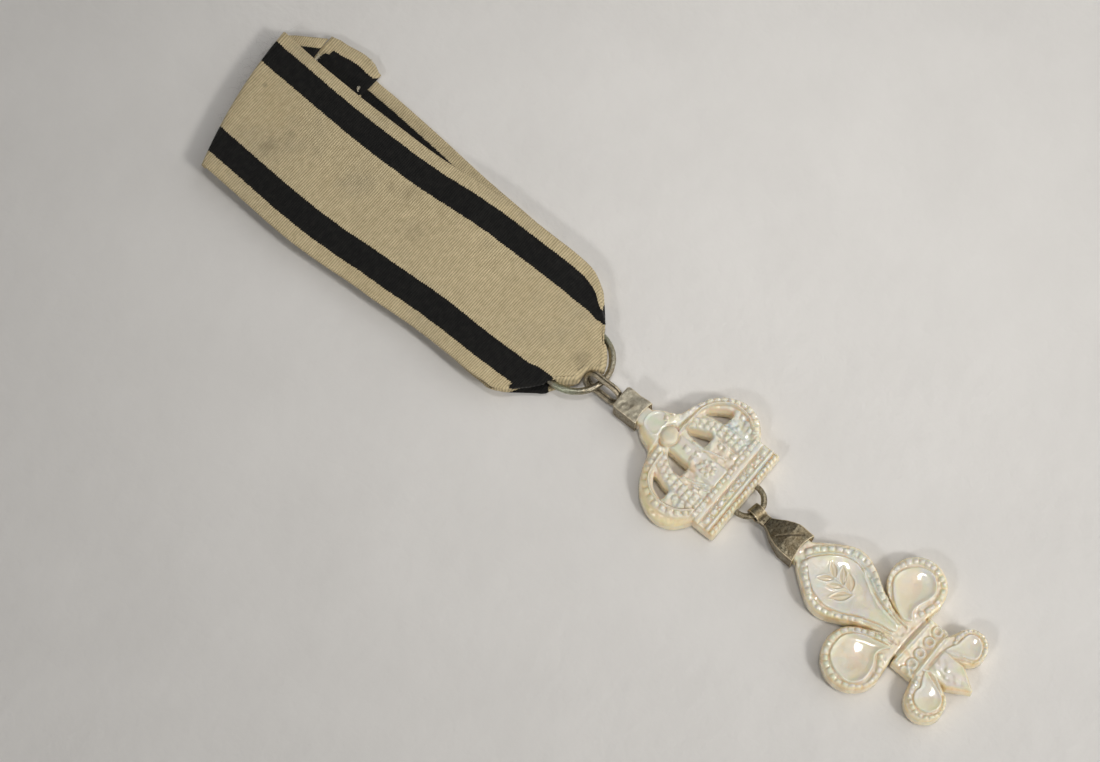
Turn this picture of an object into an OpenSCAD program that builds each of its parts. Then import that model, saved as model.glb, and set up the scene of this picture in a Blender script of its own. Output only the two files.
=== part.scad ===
// Order badge lying on a table: a folded ribbon, a wire ring, and a carved
// mother-of-pearl crown and lily in metal caps. Millimetres, Z up from the table.
// Every piece is placed by x across the badge and y from the lily's foot to the ribbon's top.

/* [Ribbon] */
// Thickness of the ribbon's wall
ribbon_wall = 1; // [0.9:0.05:1.05]
// How far the ribbon's top edge is folded back behind the front panel
flap_length = 8; // [5:0.5:12]

/* [Ring] */
// Outer radius of the ring
ring_r = 7.3; // [7.2:0.05:7.35]
// Thickness of the ring's wire
ring_wire = 1.3; // [1.1:0.05:1.35]
// Place of the ring's middle, across
ring_x = 3.6; // [3.5:0.05:3.65]
// Place of the ring's middle, along
ring_y = 93.7; // [93.65:0.05:93.75]
// How much the ring leans, in degrees
ring_lean = 5; // [4.5:0.1:5]

/* [Metal caps] */
// Height of both caps above the table
cap_h = 4.6; // [4.6:0.05:4.8]
// Sheet metal thickness of both caps
cap_wall = 0.35; // [0.3:0.01:0.36]
// Width of the crown's cap at its open end
crown_cap_w = 5; // [4.95:0.05:5.1]
// Length of the crown's cap
crown_cap_l = 5.6; // [5.4:0.1:5.7]
// Thickness of each of the two wires in the crown cap's eye
eye_wire = 0.75; // [0.6:0.05:0.75]
// Inner radius of the lily cap's strap eye
strap_eye_r = 1.1; // [1.05:0.01:1.15]
// Width of the strap
strap_w = 2.2; // [2:0.05:2.2]

/* [Crown] */
// Thickness of the carved shell at its high places
shell_t = 3.7; // [3.6:0.05:3.7]
// Depth of the ground between the raised arches
relief = 0.8; // [0.5:0.1:1]
// Half the width of the crown's base band
base_half = 9.8; // [9.6:0.1:9.9]
// Height of the base band
base_h = 4.6; // [4.4:0.1:4.8]
// Radius of the beads
bead_r = 0.48; // [0.4:0.02:0.5]
// Spacing of the beads
bead_pitch = 1.05; // [1:0.05:1.3]

/* [Crown loop] */
// Middle radius of the wire loop under the crown
loop_r = 3.05; // [3:0.05:3.1]
// Thickness of the loop's wire
loop_wire = 1.1; // [1:0.05:1.15]
// How deep the loop's ends go into the crown
loop_seat = 3; // [2:0.25:3.5]

/* [Lily] */
// Turn of the lily against the badge's middle line, in degrees
lily_turn = -2; // [-2.2:0.1:-1.8]
// Half the width of the tie band
tie_half = 5.4; // [5.2:0.1:5.5]
// How far the lily's middle line lies left of its foot
lily_shift = -0.5; // [-0.55:0.05:-0.45]

/* [Hidden] */

// Middle of the whole badge, measured from the lily's foot
middle = [5.27, 89.33];

// Small gap between pieces that touch on the real badge
gap = 0.1;
// Height of the shell's back above the table, inside the caps
shell_z = cap_wall + gap;

// Half the gap between the two halves of each ribbon fold
back_z = ribbon_wall / 2;
layer_pitch = 1.23 * ribbon_wall;
hem_z = back_z + layer_pitch;
flap_z = hem_z + layer_pitch;
top_z = flap_z + layer_pitch;
// The ring leans, so its far side lies on the back panel and its near side is up in the eye
ring_mid_r = ring_r - ring_wire / 2;
ring_z = ribbon_wall + gap + ring_wire / 2 + ring_mid_r * sin(ring_lean);
// Direction, across the badge, of the line about which it leans
RING_LEAN_AXIS = [0.64, -0.77, 0];
// Room between the ring's middle height and the front panel, for the lean
lean_room = 0.6;
front_z = ring_z + ring_wire / 2 + lean_room + ribbon_wall / 2;
FOLD_STEPS = 4;
RIBBON_COLUMNS = [0, 0.2, 0.4, 0.6, 0.8, 1];

// Left and right ends of each line across the hem:
// left x, left y, right x, right y, z, bow along y
HEM = [
    [-5.0, 158.6, 25.2, 159.6, hem_z, 0],
    [-5.2, 163.0, 25.6, 163.5, hem_z, 0],
    [-5.6, 168.5, 25.0, 169.5, hem_z, 0]
];
HEM_FOLD = [-5.8, 171.3, 24.2, 172.2, 0, 0];

// The same columns for the back panel, from its top down
BACK = [
    [-6.0, 169, 24.2, 169.5, back_z, 0],
    [-7.3, 154, 23.2, 154, back_z, 0],
    [-8.2, 142, 22.3, 142, back_z, 0],
    [-9.2, 130, 21.2, 130, back_z, 0],
    [-9.8, 118, 20.5, 118, back_z, 0],
    [-10.8, 108, 19.6, 108, back_z, 0],
    [-9.8, 101, 18.0, 101, back_z, 0],
    [-8.0, 98.0, 16.6, 98.4, back_z, 0],
    [-5.0, 95.2, 12.8, 95.0, back_z, 0],
    [-2.8, 94.0, 8.4, 92.0, back_z, 0.5]
];

// The tip of the fold, which passes through the ring
TIP = [-0.8, 91.3, 5.2, 88.7, 0, 1.6];

// The same columns for the front panel, from its tip up
FRONT = [
    [-2.2, 93.9, 8.0, 91.7, front_z, 0.6],
    [-4.2, 95.4, 12.2, 94.8, front_z, 0.2],
    [-7.4, 98.6, 15.3, 97.9, front_z, 0],
    [-9.2, 100.6, 17.0, 100.2, front_z, 0],
    [-10.8, 104, 19.1, 104, front_z, 0],
    [-11.2, 110, 19.3, 110, front_z, 0],
    [-10.9, 118, 19.5, 118, front_z, 0],
    [-11.4, 127, 19.1, 127, front_z, 0],
    [-12.2, 138, 17.9, 138, front_z, 0],
    [-12.9, 150, 17.7, 150, front_z, 0],
    [-12.6, 160, 17.8, 161, top_z, 0.2],
    [-12.2, 168, 18.3, 172, top_z, 0.6]
];
TOP_FOLD = [-11.8, 172.6, 18.8, 178.6, 0, 0.9];

// Ferrule and eye of the crown
cap_x = 2.5;
cap_y = 76.9;
cap_taper = 0.1;
cap_mouth_rise = 0.5;
cap_slope = 0.35;
eye_lean = 21;
eye_bend_r = 1.9;
eye_top = 90.4;
eye_x = 2.3;
eye_z = 2.35;
// How far apart the eye's two wires stand, in parts of their thickness
eye_spread = 0.94;

// Crown's middle at the bottom of its base
crown_at = [2.4, 53.1];
// Half the crown's width at each height above its base: y, half width
CROWN_EDGE = [
    [0, base_half], [base_h, base_half], [5.3, 11.2], [7, 12.9], [9, 13.7], [11, 13.8],
    [13, 13.2], [15, 11.9], [16.7, 9.9], [17.8, 7.4], [18.8, 4.7], [19.8, 3.8],
    [21.4, 3.2], [23, 2.1], [23.6, 1.85], [28.4, 1.8]
];
// Middle line of the right half of each arch: x, y
OUTER_ARCH = [[10.0, 5.6], [12.1, 7.9], [12.9, 10.6], [12.0, 13.5], [9.4, 15.9], [6.2, 17.3], [3.4, 18.2]];
INNER_ARCH = [[6.4, 5.8], [7.3, 8.2], [7.2, 10.8], [6.2, 13.6], [4.2, 16.2], [2.6, 17.6]];
MIDDLE_ARCH = [[3.3, 6.2], [2.9, 9.0], [1.7, 11.5], [1.4, 14.5], [1.2, 17.0]];
// Corners of the right-hand pierced openings: x, y
OUTER_OPENING = [[8.4, 11.2], [10.2, 11.2], [10.2, 12.4], [8.3, 14.9], [7.5, 15.2], [7.9, 13.2]];
INNER_OPENING = [[2.7, 11.4], [4.7, 11.4], [4.5, 13.0], [3.2, 15.4], [2.6, 15.8]];
arch_half = 1;
inner_arch_half = 0.85;
middle_arch_half = 0.5;
// How far below the highest places the bands of the arches end: outer, inner, middle
ARCH_DROP = [0.35, 0.2, 0.1];
orb_r = 2.9;
orb_y = 20.6;
// The orb is a ball stretched across and flattened through the thickness
ORB_SCALE = [1.12, 1, 0.42];
orb_end_y = 23.2;
boss_y = 18.3;
boss_r = 1.8;
fleuron_y = 8.2;
FLEURON_SIZE = [1.6, 2.1, 0.5];
// Half width, first y and last y of the tongue inside the cap
CROWN_TENON = [1.8, 21.5, 28.2];
// Thickness of the lower layer, which is wider than the carved front
lip_t = 1.6;
crown_bevel = 0.45;
// Depth by which the carved parts are sunk into the ground below them
root = 0.3;
// Heights of the lines on the base band and half their widths: y, half width
BASE_RAILS = [[0.45, 0.4], [1.7, 0.22], [3.95, 0.35]];
base_beads_y = 5.15;
gem_y = 2.75;
gem_pitch = 2.1;
gem_r = 0.62;
gem_h = 0.65;
gem_flare = 0.2;
rope_r = 0.36;
// How far the ends of the base's rails stay inside its ends
rail_inset = 0.35;

// Loop below the crown, and the eye that hangs on it
loop_at = [2.25, 52.55];
loop_z = 2.2;
bore_gap = 0.12;
strap_x = 1.45;
strap_tilt = -10;
strap_t = 0.5;
// Neck between the strap and the bell: width, height, and how far its middle lies left of the strap's
NECK = [2.1, 1.4, 0.2];

// Bell of the lily's cap: y above its mouth, half width
lily_cap_at = [0.85, 38.9];
BELL = [[0, 3.2], [3, 3.15], [4.6, 2.75], [6, 2.1], [7.2, 1.45], [8.2, 1.0]];
// Side view of the bell: y above its mouth, half height
BELL_SIDE = [[0, 1], [3.5, 1], [5.5, 0.8], [7, 0.6], [8.2, 0.42]];
bell_mouth_rise = 0.6;
bell_socket_l = 4.6;
bell_socket_half = 2.6;

// Half the middle petal's width at each height above the foot: y, half width
PETAL_EDGE = [
    [13, 1.8], [18, 2.1], [21, 2.8], [23.5, 4.0], [26, 5.5], [28, 6.6], [30, 7.1], [32, 6.9],
    [34, 5.9], [36.5, 4.1], [38.4, 2.7]
];
// Right half of the petal's beaded rim: x, y
PETAL_RIM = [[1.9, 18.5], [3.3, 22.8], [5.4, 26.8], [6.3, 30.2], [5.6, 33.0], [3.8, 35.6], [1.9, 38.0]];
PETAL_PANEL = [[0, 36.8], [2.4, 35.4], [4.5, 32.5], [4.8, 30.2], [3.6, 27.2], [1.6, 22.8], [0.7, 19]];
// Round parts: x, y, radius. The left ones are carved a little larger
SIDE_PETALS = [[-9.2, 19.7, 5.8], [8.5, 19.3, 5.5]];
CURLS = [[-6.8, 5.3, 3.75], [6.1, 5.3, 3.2]];
// Where the round parts join the stem: x, y, radius
PETAL_ROOT = [3.2, 16.4, 1.8];
CURL_ROOT = [2.6, 8.6, 1.6];
// Depth of the polished hollow in the middle of each
petal_hollow = 0.5;
curl_hollow = 0.35;
// Height of the lip round a hollow above the ground, and its width
lip_rise = 0.5;
lip_width = 0.35;
// How far the lip and the beads round it lie inside the outline
lip_inset = 0.9;
lip_bead_inset = 0.72;
tie_y = [9.7, 14.1];
tie_ring_r = 0.85;
tie_rail_r = 0.5;
TIE_RINGS = [-4.3, -2.2, 0, 2.2, 4.3];
tie_ring_wall = 0.35;
foot_half = 2.6;
foot_top = 9;
foot_shoulder = 3.9;
lily_lip_t = 1.5;
lily_lip = 0.25;
lily_bevel = 0.4;
rim_half = 0.7;
rim_drop = 0.45;
lily_bead_pitch = 1.15 * bead_pitch;
// Lowest and highest y of the panel's ridge, and its rise
PANEL_RIDGE = [21, 35.5, 0.65];
// Half width, first y and last y of the tongue inside the cap
LILY_TENON = [2.35, 37.8, 43.1];
// Ridge of the foot: y, height of its top above the ground, radius
FOOT_RIDGE = [[8.4, 0.5, 2], [4.4, 0.3, 2], [0.9, 0, 0.4], [4.8, relief, 0.2]];

// Point on a smooth curve through four neighbours, t from 0 at b to 1 at c
function blend(a, b, c, d, t) =
    0.5 * (2 * b + (c - a) * t + (2 * a - 5 * b + 4 * c - d) * t * t + (3 * b - a - 3 * c + d) * t * t * t);

// Smooth open curve through a table of points
function curve(p, steps) = concat(
    [for (i = [0:len(p) - 2], k = [0:steps - 1])
        blend(p[max(i - 1, 0)], p[i], p[i + 1], p[min(i + 2, len(p) - 1)], k / steps)],
    [p[len(p) - 1]]
);

// Closed outline from a table of y and half width
function two_sided(edge) = concat(
    [for (e = edge) [e[1], e[0]]],
    [for (i = [len(edge) - 1:-1:0]) [-edge[i][1], edge[i][0]]]
);

function flipped(points) = [for (p = points) [-p[0], p[1]]];

// Length along a path up to its point i, and the point at a length along it
function run(p, i) = i == 0 ? 0 : run(p, i - 1) + norm(p[i] - p[i - 1]);
function along(p, s, i = 0) =
    let (step = norm(p[i + 1] - p[i]))
    i >= len(p) - 2 || s <= step ? p[i] + (p[i + 1] - p[i]) * s / step : along(p, s - step, i + 1);

// Middle-surface point of a ribbon row at the fraction u of its width
function row_point(r, u) = [
    r[0] + (r[2] - r[0]) * u,
    r[1] + (r[3] - r[1]) * u + r[5] * 4 * u * (1 - u),
    r[4]
];

// Rows of a half-round fold: its outermost line is the given row, and side is 1 where it faces +Y
function fold_rows(row, z_from, z_to, side) =
    let (r = abs(z_to - z_from) / 2)
    [for (k = [0:FOLD_STEPS])
        let (a = -90 + 180 * k / FOLD_STEPS, dy = side * (r * cos(a) - r))
        [row[0], row[1] + dy, row[2], row[3] + dy,
            (z_from + z_to) / 2 + (z_to - z_from) / 2 * sin(a), row[5]]];

// The whole strip, from the hem's end, round the back and through the ring, to the end of the flap
function ribbon_rows() = concat(
    HEM,
    fold_rows(HEM_FOLD, hem_z, back_z, 1),
    BACK,
    fold_rows(TIP, back_z, front_z, -1),
    FRONT,
    fold_rows(TOP_FOLD, top_z, flap_z, 1),
    [[TOP_FOLD[0], TOP_FOLD[1] - flap_length / 2, TOP_FOLD[2], TOP_FOLD[3] - flap_length / 2, flap_z, 1],
        [TOP_FOLD[0], TOP_FOLD[1] - flap_length, TOP_FOLD[2], TOP_FOLD[3] - flap_length, flap_z, 0.5]]
);

// One wall of constant thickness round a grid of middle-surface points
module sheet(grid, wall) {
    rows = len(grid);
    cols = len(grid[0]);
    function side(i, j) =
        let (
            down = grid[min(i + 1, rows - 1)][j] - grid[max(i - 1, 0)][j],
            across = grid[i][min(j + 1, cols - 1)] - grid[i][max(j - 1, 0)],
            n = cross(across, down)
        )
        n / norm(n) * wall / 2;
    points = concat(
        [for (i = [0:rows - 1], j = [0:cols - 1]) grid[i][j] + side(i, j)],
        [for (i = [0:rows - 1], j = [0:cols - 1]) grid[i][j] - side(i, j)]
    );
    far = rows * cols;
    function id(i, j) = i * cols + j;
    faces = concat(
        [for (i = [0:rows - 2], j = [0:cols - 2], half = [0, 1])
            half == 0 ? [id(i, j), id(i, j + 1), id(i + 1, j)]
                : [id(i, j + 1), id(i + 1, j + 1), id(i + 1, j)]],
        [for (i = [0:rows - 2], j = [0:cols - 2], half = [0, 1])
            half == 0 ? [far + id(i, j), far + id(i + 1, j), far + id(i, j + 1)]
                : [far + id(i, j + 1), far + id(i + 1, j), far + id(i + 1, j + 1)]],
        [for (i = [0:rows - 2], half = [0, 1])
            half == 0 ? [id(i, 0), id(i + 1, 0), far + id(i, 0)]
                : [id(i + 1, 0), far + id(i + 1, 0), far + id(i, 0)]],
        [for (i = [0:rows - 2], half = [0, 1])
            half == 0 ? [id(i, cols - 1), far + id(i, cols - 1), id(i + 1, cols - 1)]
                : [id(i + 1, cols - 1), far + id(i, cols - 1), far + id(i + 1, cols - 1)]],
        [for (j = [0:cols - 2], half = [0, 1])
            half == 0 ? [id(0, j), far + id(0, j), id(0, j + 1)]
                : [id(0, j + 1), far + id(0, j), far + id(0, j + 1)]],
        [for (j = [0:cols - 2], half = [0, 1])
            half == 0 ? [id(rows - 1, j), id(rows - 1, j + 1), far + id(rows - 1, j)]
                : [id(rows - 1, j + 1), far + id(rows - 1, j + 1), far + id(rows - 1, j)]]
    );
    polyhedron(points, faces, convexity = 10);
}

// Moves a piece from the foot of the lily to the middle of the whole badge
module placed() {
    translate([-middle[0], -middle[1], 0]) children();
}

module ribbon() color("wheat") placed() {
    sheet([for (r = ribbon_rows()) [for (u = RIBBON_COLUMNS) row_point(r, u)]], ribbon_wall);
}

module ring() color("silver") placed() {
    translate([ring_x, ring_y, ring_z]) rotate(a = -ring_lean, v = RING_LEAN_AXIS)
        rotate_extrude($fn = 64) translate([ring_mid_r, 0]) circle(d = ring_wire, $fn = 24);
}

// One wire of the eye: an upright loop, longer along Y than it is high
module eye_loop() {
    start_y = cap_y + crown_cap_l + eye_bend_r;
    straight = eye_top - eye_wire / 2 - eye_bend_r - start_y;
    translate([0, start_y, 0]) rotate([0, 90, 0]) {
        translate([0, straight, 0])
            rotate_extrude(angle = 180, $fn = 48) translate([eye_bend_r, 0]) circle(d = eye_wire, $fn = 20);
        rotate([0, 0, 180])
            rotate_extrude(angle = 180, $fn = 48) translate([eye_bend_r, 0]) circle(d = eye_wire, $fn = 20);
        for (x = [-eye_bend_r, eye_bend_r])
            translate([x, 0, 0]) rotate([-90, 0, 0]) cylinder(h = straight, d = eye_wire, $fn = 20);
    }
}

module crown_cap() color("dimgray") placed() {
    wide = crown_cap_w / 2;
    narrow = wide - cap_taper;
    mouth_r = (wide * wide + cap_mouth_rise * cap_mouth_rise) / (2 * cap_mouth_rise);
    difference() {
        translate([cap_x, cap_y, 0]) linear_extrude(cap_h) polygon([
            [-wide, 0], [wide, 0], [narrow, crown_cap_l - cap_slope], [narrow - cap_slope, crown_cap_l],
            [cap_slope - narrow, crown_cap_l], [-narrow, crown_cap_l - cap_slope]
        ]);
        translate([cap_x, cap_y + cap_mouth_rise - mouth_r, -1])
            cylinder(h = cap_h + 2, r = mouth_r, $fn = 96);
        translate([cap_x - narrow + cap_wall, cap_y - 1, cap_wall])
            cube([2 * (narrow - cap_wall), crown_cap_l + 1 - cap_wall, cap_h - 2 * cap_wall]);
    }
    // The two wires of the eye, side by side and soldered to each other and to the cap
    for (side = [-1, 1])
        translate([eye_x, 0, eye_z]) rotate([0, eye_lean, 0])
            translate([side * eye_spread / 2 * eye_wire, 0, 0]) eye_loop();
}

// A raised band along a path, in short hulls
module band(path, half, from_z, to_z) {
    for (i = [0:len(path) - 2])
        hull() for (p = [path[i], path[i + 1]])
            translate([p[0], p[1], from_z]) cylinder(h = to_z - from_z, r = half, $fn = 8);
}

// One bead, sunk a little into what it stands on
module bead(r, z) {
    sunk = 0.1;
    translate([0, 0, z - sunk]) cylinder(h = sunk + 0.75 * r, r1 = r, r2 = r / 2, $fn = 6);
}

// Beads at an even pitch along a path; a closed path has none at its last point, which is its first
module bead_line(path, pitch, r, z, closed = false) {
    total = run(path, len(path) - 1);
    count = round(total / pitch);
    for (k = [0:closed ? count - 1 : count])
        translate([each along(path, total * k / count), 0]) bead(r, z);
}

// The same thing on the right and, mirrored, on the left
module both_sides() {
    children();
    mirror([1, 0, 0]) children();
}

// The tongue of carved shell inside a cap
module tenon(size) {
    translate([-size[0], size[1], shell_z]) cube([2 * size[0], size[2] - size[1], shell_t]);
}

// Crown's plate with its openings, the back a little wider than the front
module crown_plate() {
    edge = two_sided(CROWN_EDGE);
    openings = [OUTER_OPENING, INNER_OPENING, flipped(OUTER_OPENING), flipped(INNER_OPENING)];
    translate([0, 0, shell_z]) linear_extrude(lip_t) difference() {
        polygon(edge);
        for (o = openings) polygon(o);
    }
    translate([0, 0, shell_z]) linear_extrude(shell_t - relief) difference() {
        offset(delta = -crown_bevel) polygon(edge);
        for (o = openings) polygon(o);
    }
}

// Lines, gems and beads on the crown's base band
module crown_base(top) {
    end = base_half - rail_inset;
    rope_end = end - root;
    beads_end = end + root;
    gems = floor(end / gem_pitch);
    for (rail = BASE_RAILS)
        translate([-end, rail[0] - rail[1], shell_z]) cube([2 * end, 2 * rail[1], top - shell_z]);
    bead_line([[-rope_end, BASE_RAILS[0][0]], [rope_end, BASE_RAILS[0][0]]], bead_pitch, rope_r, top);
    bead_line([[-beads_end, base_beads_y], [beads_end, base_beads_y]], bead_pitch, bead_r, top - relief);
    for (k = [-gems:gems])
        translate([k * gem_pitch, gem_y, top - relief - 0.1]) rotate(k % 2 == 0 ? 45 : 0)
            cylinder(h = gem_h, r1 = gem_r + gem_flare, r2 = gem_r, $fn = 4);
}

module crown() color("ivory") placed() translate([each crown_at, 0]) {
    top = shell_z + shell_t;
    low = shell_z + 0.5;
    outer = curve(OUTER_ARCH, 2);
    inner = curve(INNER_ARCH, 2);
    union() {
        difference() {
            union() {
                crown_plate();
                crown_base(top);
            }
            for (side = [-1, 1])
                translate([loop_at[0] - crown_at[0] + side * loop_r, -1, loop_z]) rotate([-90, 0, 0])
                    cylinder(h = loop_seat + 1 + bore_gap, d = loop_wire + 2 * bore_gap, $fn = 16);
        }
        both_sides() {
            band(outer, arch_half, low, top - ARCH_DROP[0]);
            band(inner, inner_arch_half, low, top - ARCH_DROP[1]);
            band(MIDDLE_ARCH, middle_arch_half, low, top - ARCH_DROP[2]);
            bead_line(outer, bead_pitch, bead_r, top - ARCH_DROP[0]);
            bead_line(inner, bead_pitch, bead_r, top - ARCH_DROP[1]);
        }
        // Fleuron at the foot of the middle arch
        translate([0, fleuron_y, top - relief]) scale(FLEURON_SIZE) sphere(r = 1, $fn = 12);
        // Orb and the small boss below it
        intersection() {
            translate([0, orb_y, top - orb_r * ORB_SCALE[2]]) scale(ORB_SCALE) sphere(r = orb_r, $fn = 20);
            translate([-2 * orb_r, 0, shell_z]) cube([4 * orb_r, orb_end_y, 2 * shell_t]);
        }
        translate([0, boss_y, top - 4 * root])
            cylinder(h = 4 * root - ARCH_DROP[2], r1 = boss_r, r2 = boss_r - 0.4, $fn = 14);
        tenon(CROWN_TENON);
    }
}

module crown_loop() color("dimgray") placed() translate([each loop_at, loop_z]) {
    rotate([0, 0, 180])
        rotate_extrude(angle = 180, $fn = 64) translate([loop_r, 0]) circle(d = loop_wire, $fn = 20);
    for (side = [-1, 1])
        translate([side * loop_r, 0, 0]) rotate([-90, 0, 0])
            cylinder(h = loop_seat + crown_at[1] - loop_at[1], d = loop_wire, $fn = 20);
}

module lily_cap() color("dimgray") placed() {
    wide = BELL[0][1];
    top_y = BELL[len(BELL) - 1][0];
    mouth_r = (wide * wide + bell_mouth_rise * bell_mouth_rise) / (2 * bell_mouth_rise);
    strap_r = strap_eye_r + strap_t;
    strap_y = loop_at[1] - sqrt(loop_r * loop_r - pow(loop_at[0] - strap_x, 2));
    neck_y = lily_cap_at[1] + top_y - 1;
    translate([each lily_cap_at, 0]) rotate([0, 0, lily_turn]) difference() {
        intersection() {
            linear_extrude(cap_h) polygon(two_sided(BELL));
            translate([-2 * wide, 0, cap_h / 2]) rotate([90, 0, 90]) linear_extrude(4 * wide)
                polygon(concat(
                    [for (s = BELL_SIDE) [s[0], s[1] * cap_h / 2]],
                    [for (i = [len(BELL_SIDE) - 1:-1:0]) [BELL_SIDE[i][0], -BELL_SIDE[i][1] * cap_h / 2]]
                ));
        }
        translate([0, bell_mouth_rise - mouth_r, -1]) cylinder(h = cap_h + 2, r = mouth_r, $fn = 96);
        translate([-bell_socket_half, -1, cap_wall])
            cube([2 * bell_socket_half, bell_socket_l + 1, cap_h - 2 * cap_wall]);
    }
    // The neck and the flat strap bent round the loop above it
    difference() {
        union() {
            translate([strap_x, strap_y, loop_z]) rotate([0, 90, strap_tilt])
                cylinder(h = strap_w, r = strap_r, center = true, $fn = 32);
            translate([strap_x - NECK[2] - NECK[0] / 2, neck_y, loop_z - NECK[1] / 2])
                cube([NECK[0], strap_y - strap_r + 0.5 - neck_y, NECK[1]]);
        }
        translate([strap_x, strap_y, loop_z]) rotate([0, 90, strap_tilt])
            cylinder(h = strap_w + 2, r = strap_eye_r, center = true, $fn = 32);
    }
}

// One round part's outline, drawn in to where it joins the stem
module round_outline(p, join, sides) {
    hull() {
        translate([p[0], p[1]]) circle(r = p[2], $fn = sides);
        translate([sign(p[0]) * join[0], join[1]]) circle(r = join[2], $fn = 16);
    }
}

// Flat outline of the lily
module lily_outline() {
    polygon(two_sided(PETAL_EDGE));
    for (p = SIDE_PETALS) round_outline(p, PETAL_ROOT, 40);
    for (p = CURLS) round_outline(p, CURL_ROOT, 28);
    translate([-tie_half, tie_y[0]]) square([2 * tie_half, tie_y[1] - tie_y[0]]);
    polygon([
        [-foot_half, foot_top], [-foot_half, foot_shoulder], [0, 0],
        [foot_half, foot_shoulder], [foot_half, foot_top]
    ]);
}

// A shallow polished hollow with a lip and a beaded rim round it
module hollowed_petal(r, hollow, z) {
    outer = r - lip_inset;
    inner = outer - lip_width;
    top = z + lip_rise;
    bowl = [for (t = [1:-0.25:0]) [inner * t, top - hollow * (1 - t * t)]];
    rotate_extrude($fn = 40)
        polygon(concat([[0, z - root], [outer, z - root], [outer, top]], bowl));
    circle_path = [for (a = [5:15:365]) (r - lip_bead_inset) * [cos(a), sin(a)]];
    bead_line(circle_path, lily_bead_pitch, bead_r, z, closed = true);
}

// A small raised cylinder on the lily's ground, at x and y, its top this high above the ground
module stud(at, above, r, ground) {
    translate([at[0], at[1], ground - root]) cylinder(h = root + above, r = r, $fn = r < 1 ? 6 : 10);
}

module lily() color("ivory") placed() rotate([0, 0, lily_turn]) translate([lily_shift, 0, 0]) {
    top = shell_z + shell_t;
    ground = top - relief;
    rim = curve(PETAL_RIM, 2);
    tie_mid = (tie_y[0] + tie_y[1]) / 2;
    union() {
        translate([0, 0, shell_z]) linear_extrude(lily_lip_t)
            offset(delta = lily_lip) lily_outline();
        translate([0, 0, shell_z]) linear_extrude(shell_t - relief)
            offset(delta = -lily_bevel) lily_outline();
        for (p = SIDE_PETALS)
            translate([p[0], p[1], 0]) hollowed_petal(p[2], petal_hollow, ground);
        for (p = CURLS)
            translate([p[0], p[1], 0]) hollowed_petal(p[2], curl_hollow, ground);
        both_sides() {
            band(rim, rim_half, ground - root, top - rim_drop);
            bead_line(rim, lily_bead_pitch, bead_r, top - rim_drop);
        }
        // Smooth panel of the middle petal, high along its middle
        for (side = [-1, 1], i = [0:len(PETAL_PANEL) - 2])
            hull() {
                for (p = [PETAL_PANEL[i], PETAL_PANEL[i + 1]]) {
                    stud([side * p[0], p[1]], 0.2, 0.3, ground);
                    stud([0, min(max(p[1], PANEL_RIDGE[0]), PANEL_RIDGE[1])], PANEL_RIDGE[2], 0.3, ground);
                }
            }
        // Tie band with its rails and rings
        for (y = [tie_y[0] + tie_rail_r, tie_y[1] - tie_rail_r])
            hull() for (side = [-1, 1])
                stud([side * (tie_half - 0.6), y], relief, tie_rail_r, ground);
        for (x = TIE_RINGS)
            translate([x, tie_mid, ground - root]) difference() {
                cylinder(h = root + 0.6, r = tie_ring_r, $fn = 12);
                translate([0, 0, root + 0.1]) cylinder(h = 1, r = tie_ring_r - tie_ring_wall, $fn = 10);
            }
        // Pointed foot with a ridge down its middle
        hull() for (f = FOOT_RIDGE) stud([0, f[0]], f[1], f[2], ground);
        tenon(LILY_TENON);
    }
}

ribbon();
ring();
crown_cap();
crown();
crown_loop();
lily_cap();
lily();
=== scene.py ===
"""Looks of an order badge: a folded ribbon, a wire ring, and a carved shell crown and lily in metal caps.

Shapes are worked out in millimetres, measured from the lily's foot: x across the badge, y along it, z up.
"""

import math

import bmesh
import bpy
import numpy as np
from mathutils import Matrix, Vector


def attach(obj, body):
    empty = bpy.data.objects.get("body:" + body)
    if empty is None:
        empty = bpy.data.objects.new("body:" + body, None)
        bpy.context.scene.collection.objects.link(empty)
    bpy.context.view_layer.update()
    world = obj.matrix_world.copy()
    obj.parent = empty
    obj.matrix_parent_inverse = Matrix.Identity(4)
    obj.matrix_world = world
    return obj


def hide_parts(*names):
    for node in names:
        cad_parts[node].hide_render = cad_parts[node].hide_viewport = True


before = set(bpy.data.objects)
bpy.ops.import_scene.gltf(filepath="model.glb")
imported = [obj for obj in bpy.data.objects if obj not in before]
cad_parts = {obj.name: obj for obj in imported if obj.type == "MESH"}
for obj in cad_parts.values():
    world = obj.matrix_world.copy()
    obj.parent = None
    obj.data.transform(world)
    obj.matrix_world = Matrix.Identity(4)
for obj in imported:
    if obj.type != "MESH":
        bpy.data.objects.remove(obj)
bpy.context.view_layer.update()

MM = 0.001
# The frame's origin, measured from the lily's foot
MIDDLE = np.array([5.27, 89.33, 0.0])


def metres(points):
    """Points measured from the lily's foot, as the frame has them."""
    return (np.asarray(points, float) - MIDDLE) * MM


def smooth(t):
    t = np.clip(t, 0, 1)
    return t * t * (3 - 2 * t)


def hump(t):
    """One at zero, falling smoothly to nothing on either side."""
    return np.exp(-(t**2))


def waves(p, size, seed, count=12):
    """Smooth random numbers, mostly from -1 to 1, whose bumps are about that size."""
    rng = np.random.default_rng(seed)
    total = np.zeros(len(p))
    for _ in range(count):
        direction = rng.normal(size=p.shape[1])
        direction /= np.linalg.norm(direction)
        length = size * rng.uniform(0.8, 1.6)
        total += np.sin(p @ direction * 2 * math.pi / length + rng.uniform(0, 2 * math.pi))
    return total * math.sqrt(2 / count) * 0.7


def spline(a, b, c, d, t):
    """The point at share t from b to c, on the smooth line through four points."""
    return 0.5 * (2 * b + (c - a) * t + (2 * a - 5 * b + 4 * c - d) * t**2 + (3 * b - a - 3 * c + d) * t**3)


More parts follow.
